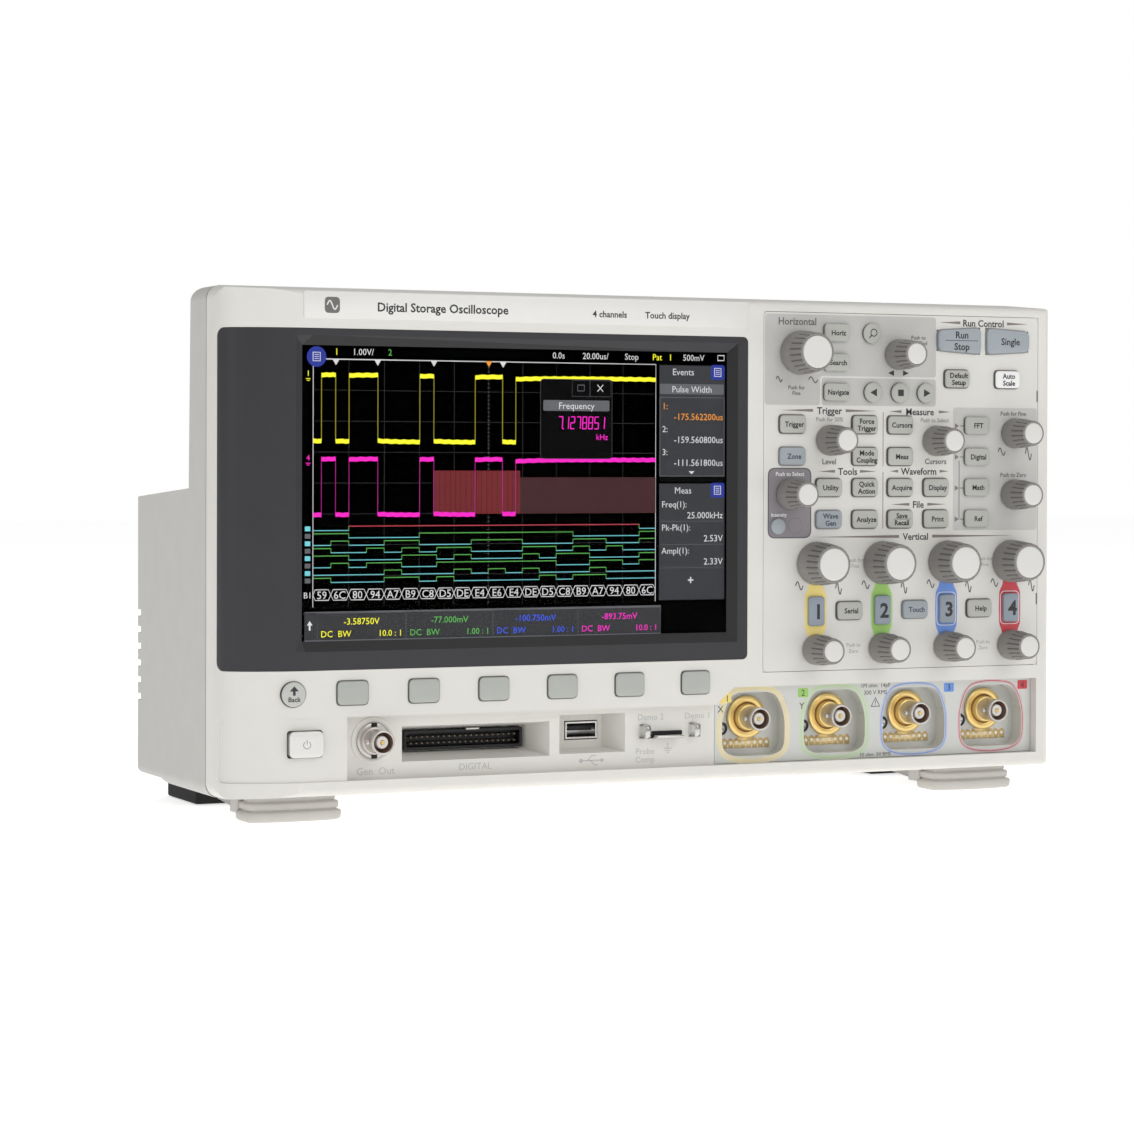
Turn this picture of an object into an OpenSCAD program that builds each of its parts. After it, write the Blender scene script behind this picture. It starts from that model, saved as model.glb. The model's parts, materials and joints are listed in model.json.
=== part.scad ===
// Bench oscilloscope: bezel, display, key field, input pockets, cabinet and inner works.
// X runs to the viewer's right, the front faces -Y and Z is up.
// The origin is the middle of the footprint, on the surface that the feet stand on.
// Modules are written with the flat front at y = 0, and home() moves them into place.

/* [Body] */
// Overall width
body_w = 380; // [376:1:460]
// Height of the top edge above the standing surface
body_h = 213.8; // [212:0.1:260]
// Depth from the flat front to the rear wall
body_d = 121; // [118:0.5:150]
// Height of the front underside above the standing surface
under_z = 10.5; // [9:0.1:13]
// Depth of the front bezel, from the flat front to the seam
seam_y = 27.5; // [24:0.5:30]
// Depth of the tall upper part of the cabinet
step_y = 48; // [44:0.5:54]
// Height of the ledge behind the tall part
ledge_z = 132.5; // [120:0.5:140]
// Side, top and bottom wall
wall = 2.5; // [2:0.1:3.2]
// Front wall of the bezel
front_wall = 4.5; // [4:0.1:5]
// Radius of the swept left end of the front
sweep_r = 60; // [50:1:70]
// Distance from the left side at which the sweep starts
sweep_x = 35; // [32:1:38]
// Radius of the rounded left edge
left_r = 12; // [8:1:16]
// Radius of the bezel's outline corners
outline_r = 6; // [3:0.5:10]
// Gap at the seam and around inserts
fit_gap = 0.2; // [0.1:0.05:0.3]

/* [Display] */
// Visible width of the screen
screen_w = 189.3; // [150:0.1:190]
// Visible height of the screen
screen_h = 117.5; // [100:0.1:120]
// Left edge of the screen, from the left side
screen_x = 31.4; // [31:0.1:36]
// Lower edge of the screen above the standing surface
screen_z = 72.1; // [71:0.1:74]
// Width of the sloped rim around the screen
rim = 4; // [2:0.1:4]
// Thickness of the dark surround
surround_t = 2.5; // [2:0.1:2.8]
// Dark border below the screen
border_low = 11.3; // [8:0.1:12]
// Dark border above the screen
border_high = 6.5; // [5:0.1:8]
// Dark border to the right of the screen
border_right = 8.6; // [6:0.1:9]
// Radius of the surround's corners to the right of the screen
surround_r = 2.2; // [1:0.1:4]
// Radius of the surround's corners in the swept end
surround_end_r = 3.6; // [1:0.1:6]
// Touch glass thickness
glass_t = 1.4; // [1:0.1:1.6]
// Display module thickness
lcd_t = 5.5; // [4:0.1:8]

/* [Key field] */
// Width of the key field plate
field_w = 136.5; // [130:0.5:140]
// Height of the key field plate
field_h = 152.2; // [146:0.1:153]
// Distance of the plate from the right side
field_margin = 6.5; // [5:0.1:8]
// Lower edge of the plate above the standing surface
field_z = 55; // [54:0.1:57]
// Plate thickness
field_t = 2.5; // [2:0.1:3]
// Width of a legend key
key_w = 12.3; // [10:0.1:14.8]
// Height of a legend key
key_h = 7.5; // [6:0.1:9]
// How far a key stands out of the plate
key_out = 1.6; // [1:0.1:2.4]
// Key travel
key_travel = 0.8; // [0.4:0.1:1]
// Clearance around a key
key_gap = 0.25; // [0.2:0.05:0.5]
// Diameter of a round key
round_key_d = 8.6; // [7:0.1:9.6]
// Width of a numbered channel key
channel_key_w = 7.6; // [6:0.1:9]
// Height of a numbered channel key
channel_key_h = 12.5; // [10:0.1:13]
// Width of a run key
run_key_w = 21.6; // [18:0.1:22.4]
// Height of a run key at its tall end
run_key_h = 11.4; // [9:0.1:13]

/* [Knobs] */
// Large knob diameter
big_knob_d = 18.6; // [16:0.1:22.4]
// Small knob diameter
small_knob_d = 13.2; // [11:0.1:14.5]
// How far the knobs stand out
knob_out = 16; // [14:0.5:20]
// Encoder shaft diameter
shaft_d = 6; // [5:0.1:6.4]
// Radial clearance of the shaft in its bushing
shaft_gap = 0.05; // [0.03:0.01:0.08]
// Bushing diameter
bushing_d = 9; // [8:0.1:9.4]

/* [Softkeys] */
// Softkey width
soft_w = 13; // [11:0.1:15]
// Softkey height
soft_h = 9.4; // [8:0.1:10]
// Distance between softkeys
soft_pitch = 30.6; // [26:0.1:31]
// First softkey, from the left side
soft_x = 51.9; // [48:0.1:54]
// Height of the softkey row
soft_z = 51.5; // [50.5:0.1:52.5]
// Back key diameter
back_d = 10; // [8:0.1:10.5]
// Power key width
power_w = 14.2; // [12:0.1:15]
// Power key height
power_h = 10.4; // [9:0.1:11]
// Height of the power key
power_z = 31.6; // [30:0.1:33]
// Power key, from the left side
power_x = 32.3; // [30:0.1:34]
// Back key, from the left side
back_x = 27.2; // [26:0.1:30]

/* [Port bay] */
// Depth of the bay
bay_d = 4.5; // [3:0.1:5]
// Left end of the bay, from the left side
bay_x = 50; // [48:0.5:53]
// Lower edge of the bay
bay_z = 16.4; // [16:0.1:17]
// Depth of the shallow field around the power key
power_field_d = 0.6; // [0.3:0.1:1]
// Upper edge of the bay beside the inputs
bay_top = 41.9; // [41:0.1:43]
// Upper edge of the bay at the inputs
input_top = 49; // [48:0.1:50]
// Distance between inputs
input_pitch = 39.3; // [32.7:0.1:39.6]
// Last input, from the right side
input_x = 26.9; // [25:0.1:28]
// Height of the inputs
input_z = 35.3; // [34:0.1:36]
// Input pocket width
pocket_w = 31.6; // [28:0.1:33]
// Input pocket height
pocket_h = 26.8; // [25:0.1:28]
// Input pocket depth
pocket_d = 8; // [6:0.1:10]
// Diameter of an input barrel
bnc_d = 9.7; // [9.6:0.1:9.8]
// Length of an input barrel in front of its flange
bnc_len = 12.8; // [11:0.1:14]
// Input flange diameter
flange_d = 18.5; // [16:0.1:20]

/* [Feet and handle] */
// Width of a front foot
foot_w = 40.5; // [34:0.5:46]
// Depth of a front foot
foot_d = 18; // [14:0.5:20]
// Length of a tilt leg
leg_len = 33; // [26:0.5:38]
// Diameter of the tilt leg pins
leg_pin_d = 3; // [2.5:0.1:3.4]
// Distance between the handle arms
handle_w = 160; // [120:1:180]
// Handle arm length
handle_len = 50; // [40:0.5:52]
// Handle pin diameter
handle_pin_d = 6; // [5:0.1:7]

/* [Rear] */
// Fan size
fan_w = 80; // [60:1:84]
// Fan depth
fan_d = 25; // [20:1:30]
// Cover width of the module slot
module_w = 86; // [70:1:90]
// Cover height of the module slot
module_h = 32; // [24:1:34]
// Number of vent slots at the rear left corner
vent_n = 6; // [4:1:7]
// Distance between vent slots
vent_pitch = 7.1; // [6:0.1:8]
// Height of a vent slot
vent_h = 2.8; // [2:0.1:3.4]
// How far a vent slot runs forward in the side
vent_d = 6; // [4:0.5:12]
// Radius of the cabinet's upright rear edges
cabinet_r = 2; // [1:0.5:4]

/* [Hidden] */

left = -body_w / 2;
right = body_w / 2;
rear_bumper = 3.5;                 // rear feet stand this far behind the rear wall
centre_y = (body_d + rear_bumper - knob_out) / 2;
edge_r = 3;                        // rounding of the bezel's front edge
seam_low = 9.2;                    // underside of the body at the seam
seam_round = 4;
eps = 0.01;
$fn = 48;

// Depths behind the front
board_y = 9.6;
board_t = 1.6;
bulkhead_y = 30;
sheet = 1.2;
deck_z = 14;                       // the deck rests on the raised floor at the rear
stand_off = 6;
dome_h = 2.2;
flange_t = 1.2;                    // retaining flange of a key
flange_lip = 1;
key_back = board_y - dome_h - key_travel - 0.2;
bay_floor = 2;
sweep_seat_y = 5.2;                // seat behind the keys in the swept end
input_floor = bay_d + pocket_d;
bnc_flange_t = 1.2;
bnc_face = input_floor - bnc_flange_t;

// The screen, its window and the dark surround
sx0 = left + screen_x;
sx1 = sx0 + screen_w;
sz0 = screen_z;
sz1 = screen_z + screen_h;
sur_z0 = sz0 - border_low;
sur_z1 = sz1 + border_high;
sur_x1 = sx1 + border_right;
sur_y1 = 15;
power_field_y = 14;                // end of the shallow field in the swept end
glass_lip = 3;                     // the glass reaches this far past the window
open_lip = glass_lip + fit_gap;

// The key field
fx0 = right - field_margin - field_w;
fz0 = field_z;
rebate = 2;                        // the field plate rests on a step this wide
col = [13.4, 31.1, 48.7, 66.2, 84.1, 104.7];
row = [143.9, 131.2, 118.6, 104.8, 91.2, 77.9, 64.3];
channel_x = [for (i = [0:3]) 25.2 + 32.4 * i];
channel_key_z = 25.3;
legend_left = [[34.7, row[0]], [34.7, row[1]], [34.7, row[2]]];
legend_trigger = [[col[0], row[3]], [col[2], row[3]], [col[0], row[4]], [col[2], row[4]],
    [col[1], row[5]], [col[2], row[5]], [col[1], row[6]], [col[2], row[6]]];
legend_measure = [[col[3], row[3]], [col[3], row[4]], [col[3], row[5]], [col[4], row[5]],
    [col[3], row[6]], [col[4], row[6]]];
legend_function = concat([for (r = [3:6]) [col[5], row[r]]],
    [for (i = [0:2]) [channel_x[i] + 16.2, channel_key_z]]);
legend_setup = [[94.6, 125], [120.2, 125]];
round_horizontal = [[51.9, row[0]], [52.5, row[2]], [65.9, row[2]], [78.9, row[2]]];
round_entry = [[6.6, 61.5]];
run_keys = [[95.7, 141.6, -1], [120.5, 141.6, 1]];
knob_places = [[16.9, 135], [65.2, 135], [31.5, 98], [84.1, 98], [124.1, 101.5], [123.9, 74.7],
    [12.5, 75.1]];
knob_sizes = [big_knob_d, small_knob_d, small_knob_d, small_knob_d, small_knob_d, small_knob_d,
    small_knob_d];
scale_z = 45.6;
position_z = 9;
encoder_w = 12;
encoder_y = field_t + 0.7;

// Ports in the bay
gen_x = left + 62.6;
gen_z = 31.8;
digital_x = [left + 74.9, left + 140.1];
digital_z = [22.8, 37];
digital_d = 16.5;
digital_slope = 5.4;
header_x = (digital_x[0] + digital_x[1]) / 2;
header_z = (digital_z[0] + digital_z[1]) / 2;
header_w = 53;
header_h = 8.5;
usb_x = [left + 144.6, left + 174.6];
usb_z = [23.3, 39.4];
usb_d = 12.5;
usb_slope = 5;
usb_port_x = left + 160.1;
usb_port_z = 31.8;
demo_x = [left + 183, left + 206.1];
demo_z = 31.4;
tab_x = [left + 187, left + 199.5]; // ground tab between the demo loops
tab_z = [28.8, 29.8];
tab_gap = 0.4;
input_left = right - input_x - 3 * input_pitch - pocket_w / 2 - 3;
input_right = right - 6.9;
input_xs = [for (i = [3:-1:0]) right - input_x - i * input_pitch];
input_high = input_top - fit_gap;
input_cut = [7, 5.8];              // cut-off corner at the upper left of the input panel
pocket_z = 32.8;

// Rear pieces
rear_y = body_d;
low_y = 90;
low_z = 8.8;
rear_low_z = 11.5;
rear_foot_w = 25;
rear_foot_y = 86;
fan_x = right - 80;
fan_z = 71;
inlet_x = left + 122;
inlet_z = 36;
inlet_w = 27.5;
inlet_h = 20;
module_x = left + 138;
module_z = 106;
trig_xs = [right - 172, right - 146];
trig_z = 111;
trig_d = 12;                       // depth of the rear tub
trig_tub = [12, 11];               // reach of the tub past the connectors, along x and z
rear_usb_x = right - 159;
rear_usb_z = 86;
vent_z = 43.6;
vent_end = left + 64;
side_vent_y = [rear_y - 60, rear_y - 30];
lock_x = [left + 150, left + 157];
lock_z = [60, 63];
boss_d = 7;
screw_in = 10;                     // screws stand this far in from the sides
screw_zs = [22, 118];
handle_y = step_y + 10;
handle_z = body_h - 23.8;
arm_t = 9;
arm_w = 10;
ear_t = 6;
grip_d = 12;
leg_t = 4.6;
leg_y = 30.5;
leg_z = 5.6;
foot_in = 32;                      // centre of each front foot from its side
foot_off = body_w / 2 - foot_in;

// ---------- helpers ----------

module home() { translate([0, -centre_y, 0]) children(); }

function arc(c, r, a0, a1, n) =
    [for (i = [0:n]) [c[0] + r * cos(a0 + (a1 - a0) * i / n), c[1] + r * sin(a0 + (a1 - a0) * i / n)]];

// Outline of the bezel seen from above, drawn in by t
function plan(t, d) =
    let (cy = sweep_r - sqrt(pow(sweep_r - left_r, 2) - pow(sweep_x - left_r, 2)),
        turn = atan2(sweep_r - cy, sweep_x - left_r))
    concat(
        arc([right - max(edge_r, t), max(edge_r, t)], max(edge_r - t, 0.05), 270, 360, 5),
        [[right - t, d], [left + t, d]],
        arc([left + left_r, cy], left_r - t, 180, 180 + turn, 8),
        arc([left + sweep_x, sweep_r], sweep_r - t, 180 + turn, 270, 10));

// Side outline of the bezel in y and z, drawn in by t
function side(t) = concat(
    [[seam_y, seam_low + t], [seam_y, body_h - t]],
    arc([edge_r, body_h - 2.2 - edge_r], edge_r - min(t, edge_r - 0.05), 90, 180, 5),
    arc([edge_r, under_z + edge_r], edge_r - min(t, edge_r - 0.05), 180, 270, 5));

// Rounded rectangle about its middle
module round_rect(w, h, r) {
    square([w - 2 * r, h], center = true);
    square([w, h - 2 * r], center = true);
    for (x = [-1, 1], z = [-1, 1]) translate([x * (w / 2 - r), z * (h / 2 - r)]) circle(r);
}

// Extrudes an outline drawn in x and z from y0 to y1
module along_y(y0, y1) {
    translate([0, y1, 0]) rotate([90, 0, 0]) linear_extrude(y1 - y0) children();
}

// Extrudes an outline drawn in y and z from x0 to x1
module along_x(x0, x1) {
    translate([x0, 0, 0]) rotate([90, 0, 90]) linear_extrude(x1 - x0) children();
}

// Box between two corners
module span(a, b) { translate(a) cube(b - a); }

// Solid inside the bezel's skin, drawn in by t, with its top and bottom walls drawn in by tz
module body_front(t, tz, back = seam_y) {
    intersection() {
        translate([0, 0, -1]) linear_extrude(body_h + 2) polygon(plan(t, back));
        along_x(left - 1, right + 1) polygon(side(tz));
        along_y(-1, back)
            translate([0, (body_h + seam_low) / 2])
            round_rect(body_w - 2 * min(t, tz), body_h - seam_low - 2 * tz, max(outline_r - tz, 1));
    }
}

// Cutter with four sloped sides: x0 to x1 and z0 to z1 at depth d behind the front, and wider
// there by gx and gz on each side
module flared(x0, x1, z0, z1, d, gx, gz, front = 0) {
    over = 1;
    grow = 1 + over / d;
    intersection() {
        translate([0, 0, z0 - 2 * gz]) linear_extrude(z1 - z0 + 4 * gz)
            polygon([[x0 - gx * grow, front - over], [x1 + gx * grow, front - over],
                [x1, front + d], [x0, front + d]]);
        along_x(x0 - 2 * gx, x1 + 2 * gx)
            polygon([[front - over, z0 - gz * grow], [front + d, z0],
                [front + d, z1], [front - over, z1 + gz * grow]]);
    }
}

// Block that wraps the swept left end, with rounded corners at its right and rear ends
module swept_block(x1, y1, z0, z1, r_right, r_left) {
    reach = 20;                    // runs on past the left side and the front
    intersection() {
        along_y(-reach, y1) translate([(left - reach + x1) / 2, (z0 + z1) / 2])
            round_rect(x1 - left + reach, z1 - z0, r_right);
        along_x(left - reach, x1) translate([(y1 - reach) / 2, (z0 + z1) / 2])
            round_rect(y1 + reach, z1 - z0, r_left);
    }
}

// Form of the dark surround, grown by g
module surround_block(g) {
    swept_block(sur_x1 + g, sur_y1 + g, sur_z0 - g, sur_z1 + g, surround_r + g, surround_end_r + g);
}

// Everything more than t behind the front skin
module behind_skin(t) {
    translate([0, 0, -1]) linear_extrude(body_h + 2) polygon(plan(t, seam_y + 2));
}

// Outline of the input panel in x and z, grown by g
module input_outline(g) {
    polygon([[input_left - g, bay_z + fit_gap - g], [input_right + g, bay_z + fit_gap - g],
        [input_right + g, input_high + g], [input_left + input_cut[0] - g / 2, input_high + g],
        [input_left - g, input_high - input_cut[1] + g / 2]]);
}

// Places a child at a key field position
module at_field(p) { translate([fx0 + p[0], 0, fz0 + p[1]]) children(); }

// A key: its cap and the flange that holds it behind the wall
module key(w, h, out, flange_y, r = 1.2) {
    along_y(-out, key_back) round_rect(w, h, r);
    along_y(flange_y, flange_y + flange_t) round_rect(w + 2 * flange_lip, h + 2 * flange_lip, r);
}

module round_key(d, out, flange_y) {
    along_y(-out, key_back) circle(d / 2);
    along_y(flange_y, flange_y + flange_t) circle(d / 2 + flange_lip);
}

// Hole for a key with its running gap
module key_hole(w, h, depth, r = 1.2) {
    along_y(-eps, depth + eps) round_rect(w + 2 * key_gap, h + 2 * key_gap, r);
}

// Tapered run key outline; end is -1 when its short end is to the left
module run_outline(end, grow = 0) {
    short = run_key_h / 2 - 1.4;
    tall = run_key_h / 2;
    w = run_key_w / 2 + grow;
    polygon([[-w, -(end < 0 ? short : tall) - grow], [w, -(end < 0 ? tall : short) - grow],
        [w, (end < 0 ? tall : short) + grow], [-w, (end < 0 ? short : tall) + grow]]);
}

module run_key(k) {
    at_field(k) {
        along_y(-key_out, key_back) run_outline(k[2]);
        along_y(field_t + 0.5, field_t + 0.5 + flange_t) run_outline(k[2], flange_lip);
    }
}

// ---------- front ----------

module front_bezel() {
    color([0.86, 0.85, 0.83]) home() difference() {
        union() {
            difference() {
                body_front(0, 0);
                body_front(front_wall, wall, seam_y + 1);
            }
            // wall behind the bay, joined to the underside and the front wall
            span([left + bay_x - 3, 1, under_z + 1], [right - 3, bay_d + bay_floor, bay_top + 2]);
            span([input_left - 2, 1, under_z + 1], [right - 3, bay_d + bay_floor, input_top + 2]);
            // tubs of the digital and bus pockets
            span([digital_x[0] - 2, 1, digital_z[0] - 2], [digital_x[1] + 2, bay_d + digital_d + 2, digital_z[1] + 2]);
            span([usb_x[0] - 2, 1, usb_z[0] - 2], [usb_x[1] + 2, bay_d + usb_d + 2, usb_z[1] + 2]);
        }
        // seat of the dark surround
        difference() {
            surround_block(fit_gap);
            behind_skin(surround_t + fit_gap);
        }
        // shallow field around the power key, running into the bay
        difference() {
            swept_block(left + bay_x + 1, power_field_y, bay_z, bay_top, 0.5, 2);
            behind_skin(power_field_d);
        }
        // window for the glass and the display
        span([sx0 - open_lip, 0, sz0 - open_lip], [sx1 + open_lip, front_wall + 3, sz1 + open_lip]);
        // opening and step for the key field plate
        span([fx0 - fit_gap, -1, fz0 - fit_gap], [fx0 + field_w + fit_gap, field_t, fz0 + field_h + fit_gap]);
        span([fx0 + rebate, -1, fz0 + rebate], [fx0 + field_w - rebate, front_wall + 3, fz0 + field_h - rebate]);
        // bay
        span([left + bay_x, -1, bay_z], [input_left + 2, bay_d, bay_top]);
        along_y(-1, bay_d + bay_floor + 1) input_outline(fit_gap);
        flared(digital_x[0] + digital_slope, digital_x[1] - digital_slope, digital_z[0] + 2.6,
            digital_z[1] - 2.6, digital_d, digital_slope, 2.6, bay_d);
        flared(usb_x[0] + usb_slope, usb_x[1] - usb_slope, usb_z[0] + 1.2, usb_z[1] - 1.2, usb_d,
            usb_slope, 1.2, bay_d);
        // holes for the connectors
        translate([gen_x, 0, gen_z]) rotate([-90, 0, 0]) cylinder(h = 12, d = 12.4);
        span([header_x - header_w / 2, bay_d, header_z - header_h / 2],
            [header_x + header_w / 2, bay_d + digital_d + 3, header_z + header_h / 2]);
        span([usb_port_x - 7.6, bay_d, usb_port_z - 4], [usb_port_x + 7.6, bay_d + usb_d + 3, usb_port_z + 4]);
        for (x = demo_x) span([x - 2, 0, demo_z - 3], [x + 2, bay_d + bay_floor + 1, demo_z + 3]);
        span([tab_x[0] - tab_gap, 0, tab_z[0] - tab_gap], [tab_x[1] + tab_gap, bay_d + bay_floor + 1, tab_z[1] + tab_gap]);
        // holes for the softkeys, the back key and the power key
        for (i = [0:5]) translate([left + soft_x + i * soft_pitch, 0, soft_z]) key_hole(soft_w, soft_h, front_wall);
        translate([left + back_x, 0, soft_z]) rotate([-90, 0, 0])
            translate([0, 0, -1]) cylinder(h = front_wall + 4, d = back_d + 2 * key_gap);
        translate([left + power_x, 0, power_z]) key_hole(power_w, power_h, front_wall + 3);
        // flat seats behind the two keys in the swept end
        translate([left + back_x, 0, soft_z]) along_y(sweep_seat_y, seam_y) circle(back_d / 2 + flange_lip + 0.4);
        translate([left + power_x, 0, power_z]) along_y(sweep_seat_y, seam_y)
            square([power_w + 2 * flange_lip + 0.8, power_h + 2 * flange_lip + 0.8], center = true);
    }
}

module display_surround() {
    color([0.27, 0.27, 0.28]) home() difference() {
        intersection() {
            difference() {
                body_front(0, 0);
                behind_skin(surround_t);
            }
            surround_block(0);
        }
        flared(sx0, sx1, sz0, sz1, surround_t, rim, rim);
        span([sx0, 0, sz0], [sx1, surround_t + 1, sz1]);
        // seat of the glass where the surround starts to sweep back
        span([sx0 - glass_lip, surround_t, sz0 - glass_lip], [sx1 + glass_lip, seam_y, sz1 + glass_lip]);
    }
}

module touch_glass() {
    color([0.05, 0.05, 0.06]) home()
        span([sx0 - glass_lip, surround_t, sz0 - glass_lip],
            [sx1 + glass_lip, surround_t + glass_t, sz1 + glass_lip]);
}

module lcd_panel() {
    y0 = surround_t + glass_t;
    color([0.3, 0.3, 0.32]) home() union() {
        span([sx0 - glass_lip, y0, sz0 - glass_lip], [sx1 + glass_lip, y0 + lcd_t, sz1 + glass_lip]);
        // posts that hold the module on the bulkhead
        for (x = [sx0 + 12, sx1 - 12], z = [sz0 + 12, sz1 - 12])
            translate([x, y0 + lcd_t - 0.5, z]) rotate([-90, 0, 0])
                cylinder(h = bulkhead_y - y0 - lcd_t + 0.5, d = 7);
    }
}

module keypad_panel() {
    color([0.84, 0.83, 0.81]) home() difference() {
        along_y(0, field_t) translate([fx0 + field_w / 2, fz0 + field_h / 2])
            round_rect(field_w, field_h, 2);
        for (p = concat(legend_left, legend_trigger, legend_measure, legend_function, legend_setup))
            at_field(p) key_hole(key_w, key_h, field_t);
        for (x = channel_x) at_field([x, channel_key_z]) key_hole(channel_key_w, channel_key_h, field_t);
        for (p = round_horizontal) at_field(p) round_hole(round_key_d);
        for (p = round_entry) at_field(p) round_hole(round_key_d - 1.8);
        for (k = run_keys) at_field(k) along_y(-eps, field_t + eps) run_outline(k[2], key_gap);
        for (p = all_knobs()) at_field(p) along_y(-eps, field_t + eps) circle(bushing_d / 2 + 0.3);
    }
}

module round_hole(d) { along_y(-eps, field_t + eps) circle(d / 2 + key_gap); }

function all_knobs() = concat(knob_places,
    [for (x = channel_x) [x, scale_z]], [for (x = channel_x) [x, position_z]]);

// D-shaped pocket outline about an input's pocket middle
module pocket_outline(grow = 0) {
    w = pocket_w + 2 * grow;
    h = pocket_h + 2 * grow;
    r = 6 + grow;
    round_rect(w, h, r);
}

module input_panel() {
    color([0.8, 0.8, 0.78]) home() difference() {
        union() {
            along_y(bay_d, bay_d + bay_floor) input_outline(0);
            for (x = input_xs) translate([x, 0, pocket_z]) along_y(bay_d, input_floor + 1.6)
                pocket_outline(1.4);
        }
        for (x = input_xs) {
            translate([x, 0, pocket_z]) along_y(bay_d - eps, input_floor) pocket_outline();
            translate([x, input_floor - 1, input_z]) rotate([-90, 0, 0]) cylinder(h = 4, d = 11.2);
        }
    }
}

// ---------- knobs ----------

module knob(p, d) {
    skirt = 4.5;
    top_d = d - (d > 16 ? 1.6 : 1.8);
    color([0.55, 0.54, 0.53]) home() at_field(p) rotate([-90, 0, 0]) {
        translate([0, 0, -skirt - 0.8]) cylinder(h = skirt, d = d);
        translate([0, 0, -knob_out]) cylinder(h = knob_out - 0.8, d = top_d);
        translate([0, 0, -2]) cylinder(h = board_y + 1.4, d = shaft_d);
    }
}

module key_group(places, depth_out = key_out) {
    color([0.8, 0.8, 0.78]) home()
        for (p = places) at_field(p) key(key_w, key_h, depth_out, field_t + 0.5);
}

module softkey(i) {
    color([0.72, 0.74, 0.71]) home() translate([left + soft_x + i * soft_pitch, 0, soft_z])
        key(soft_w, soft_h, 1.2, front_wall + 0.5);
}

module channel_key(i) {
    color([0.68, 0.73, 0.77]) home() at_field([channel_x[i], channel_key_z])
        key(channel_key_w, channel_key_h, key_out, field_t + 0.5);
}

module back_key() {
    color([0.75, 0.75, 0.73]) home() translate([left + back_x, 0, soft_z])
        round_key(back_d, 0.6, sweep_seat_y + 0.2);
}

module power_key() {
    color([0.93, 0.93, 0.92]) home() translate([left + power_x, 0, power_z])
        key(power_w, power_h, 1.4, sweep_seat_y + 0.2);
}

module setup_keys() { key_group(legend_setup); }
module horizontal_keys() {
    key_group(legend_left);
    color([0.8, 0.8, 0.78]) home() for (p = round_horizontal) at_field(p)
        round_key(round_key_d, key_out, field_t + 0.5);
}
module trigger_keys() { key_group(legend_trigger); }
module measure_keys() { key_group(legend_measure); }
module function_keys() {
    key_group(legend_function);
    color([0.68, 0.73, 0.77]) home() for (p = round_entry) at_field(p)
        round_key(round_key_d - 1.8, key_out, field_t + 0.5);
}

// ---------- boards behind the front ----------

module keyboard_board() {
    strip_z = [soft_z - 3.6, soft_z + 6];
    fields = concat(legend_left, legend_trigger, legend_measure, legend_function, legend_setup,
        round_horizontal, round_entry, run_keys, [for (x = channel_x) [x, channel_key_z]]);
    color([0.1, 0.35, 0.2]) home() union() {
        difference() {
            union() {
                span([fx0 + rebate + 1, board_y, fz0 + 0.5],
                    [right - front_wall - 1.6, board_y + board_t, fz0 + field_h - rebate]);
                span([left + 19, board_y, strip_z[0]], [fx0 + rebate + 3, board_y + board_t, strip_z[1]]);
                span([left + 19, board_y, power_z - 6], [left + 40, board_y + board_t, strip_z[1]]);
            }
            for (p = all_knobs()) at_field(p) along_y(board_y - 1, board_y + 3) circle(shaft_d / 2 + 0.4);
        }
        for (p = fields) at_field(p) translate([0, board_y + eps, 0]) rotate([90, 0, 0]) cylinder(h = dome_h, d = 5);
        for (i = [0:5]) translate([left + soft_x + i * soft_pitch, board_y + eps, soft_z])
            rotate([90, 0, 0]) cylinder(h = dome_h, d = 5);
        for (z = [soft_z, power_z]) translate([left + (z == soft_z ? back_x : power_x), board_y + eps, z])
            rotate([90, 0, 0]) cylinder(h = dome_h, d = 5);
        // posts to the bulkhead
        for (p = [[fx0 + 22, fz0 + 12], [fx0 + field_w - 20, fz0 + 28], [fx0 + 42, fz0 + 112],
            [fx0 + field_w - 26, fz0 + field_h - 8], [left + 36, soft_z - 2], [left + 160, soft_z]])
            translate([p[0], board_y + board_t - eps, p[1]]) rotate([-90, 0, 0])
                cylinder(h = bulkhead_y - board_y - board_t + eps, d = 6);
    }
}

module rotary_encoders() {
    color([0.6, 0.62, 0.64]) home() for (p = all_knobs()) at_field(p) difference() {
        union() {
            span([-encoder_w / 2, encoder_y, -encoder_w / 2], [encoder_w / 2, board_y, encoder_w / 2]);
            along_y(0.4, encoder_y + 1) circle(bushing_d / 2);
        }
        along_y(-1, board_y + 1) circle(shaft_d / 2 + shaft_gap);
    }
}

// ---------- connectors ----------

module bnc(face, tail) {
    rotate([-90, 0, 0]) difference() {
        union() {
            translate([0, 0, face - bnc_len]) cylinder(h = bnc_len + 1, d = bnc_d);
            translate([0, 0, face]) cylinder(h = bnc_flange_t, d = flange_d);
            translate([0, 0, face]) cylinder(h = tail, d = 11);
        }
        difference() {
            translate([0, 0, face - bnc_len - 1]) cylinder(h = 9, d = bnc_d - 1.6);
            translate([0, 0, face - bnc_len]) cylinder(h = 12, d = 4.6);
        }
    }
}

module bnc_connectors() {
    color([0.83, 0.7, 0.36]) home() {
        for (x = input_xs) translate([x, 0, input_z]) bnc(bnc_face, bulkhead_y + 5 - bnc_face);
        color([0.75, 0.74, 0.7]) translate([gen_x, 0, gen_z]) bnc_small(bay_d, bulkhead_y - bay_d);
        color([0.75, 0.74, 0.7]) for (x = trig_xs) translate([x, rear_y - trig_d, trig_z]) rotate([0, 0, 180])
            bnc_small(0, 10);
    }
}

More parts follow.
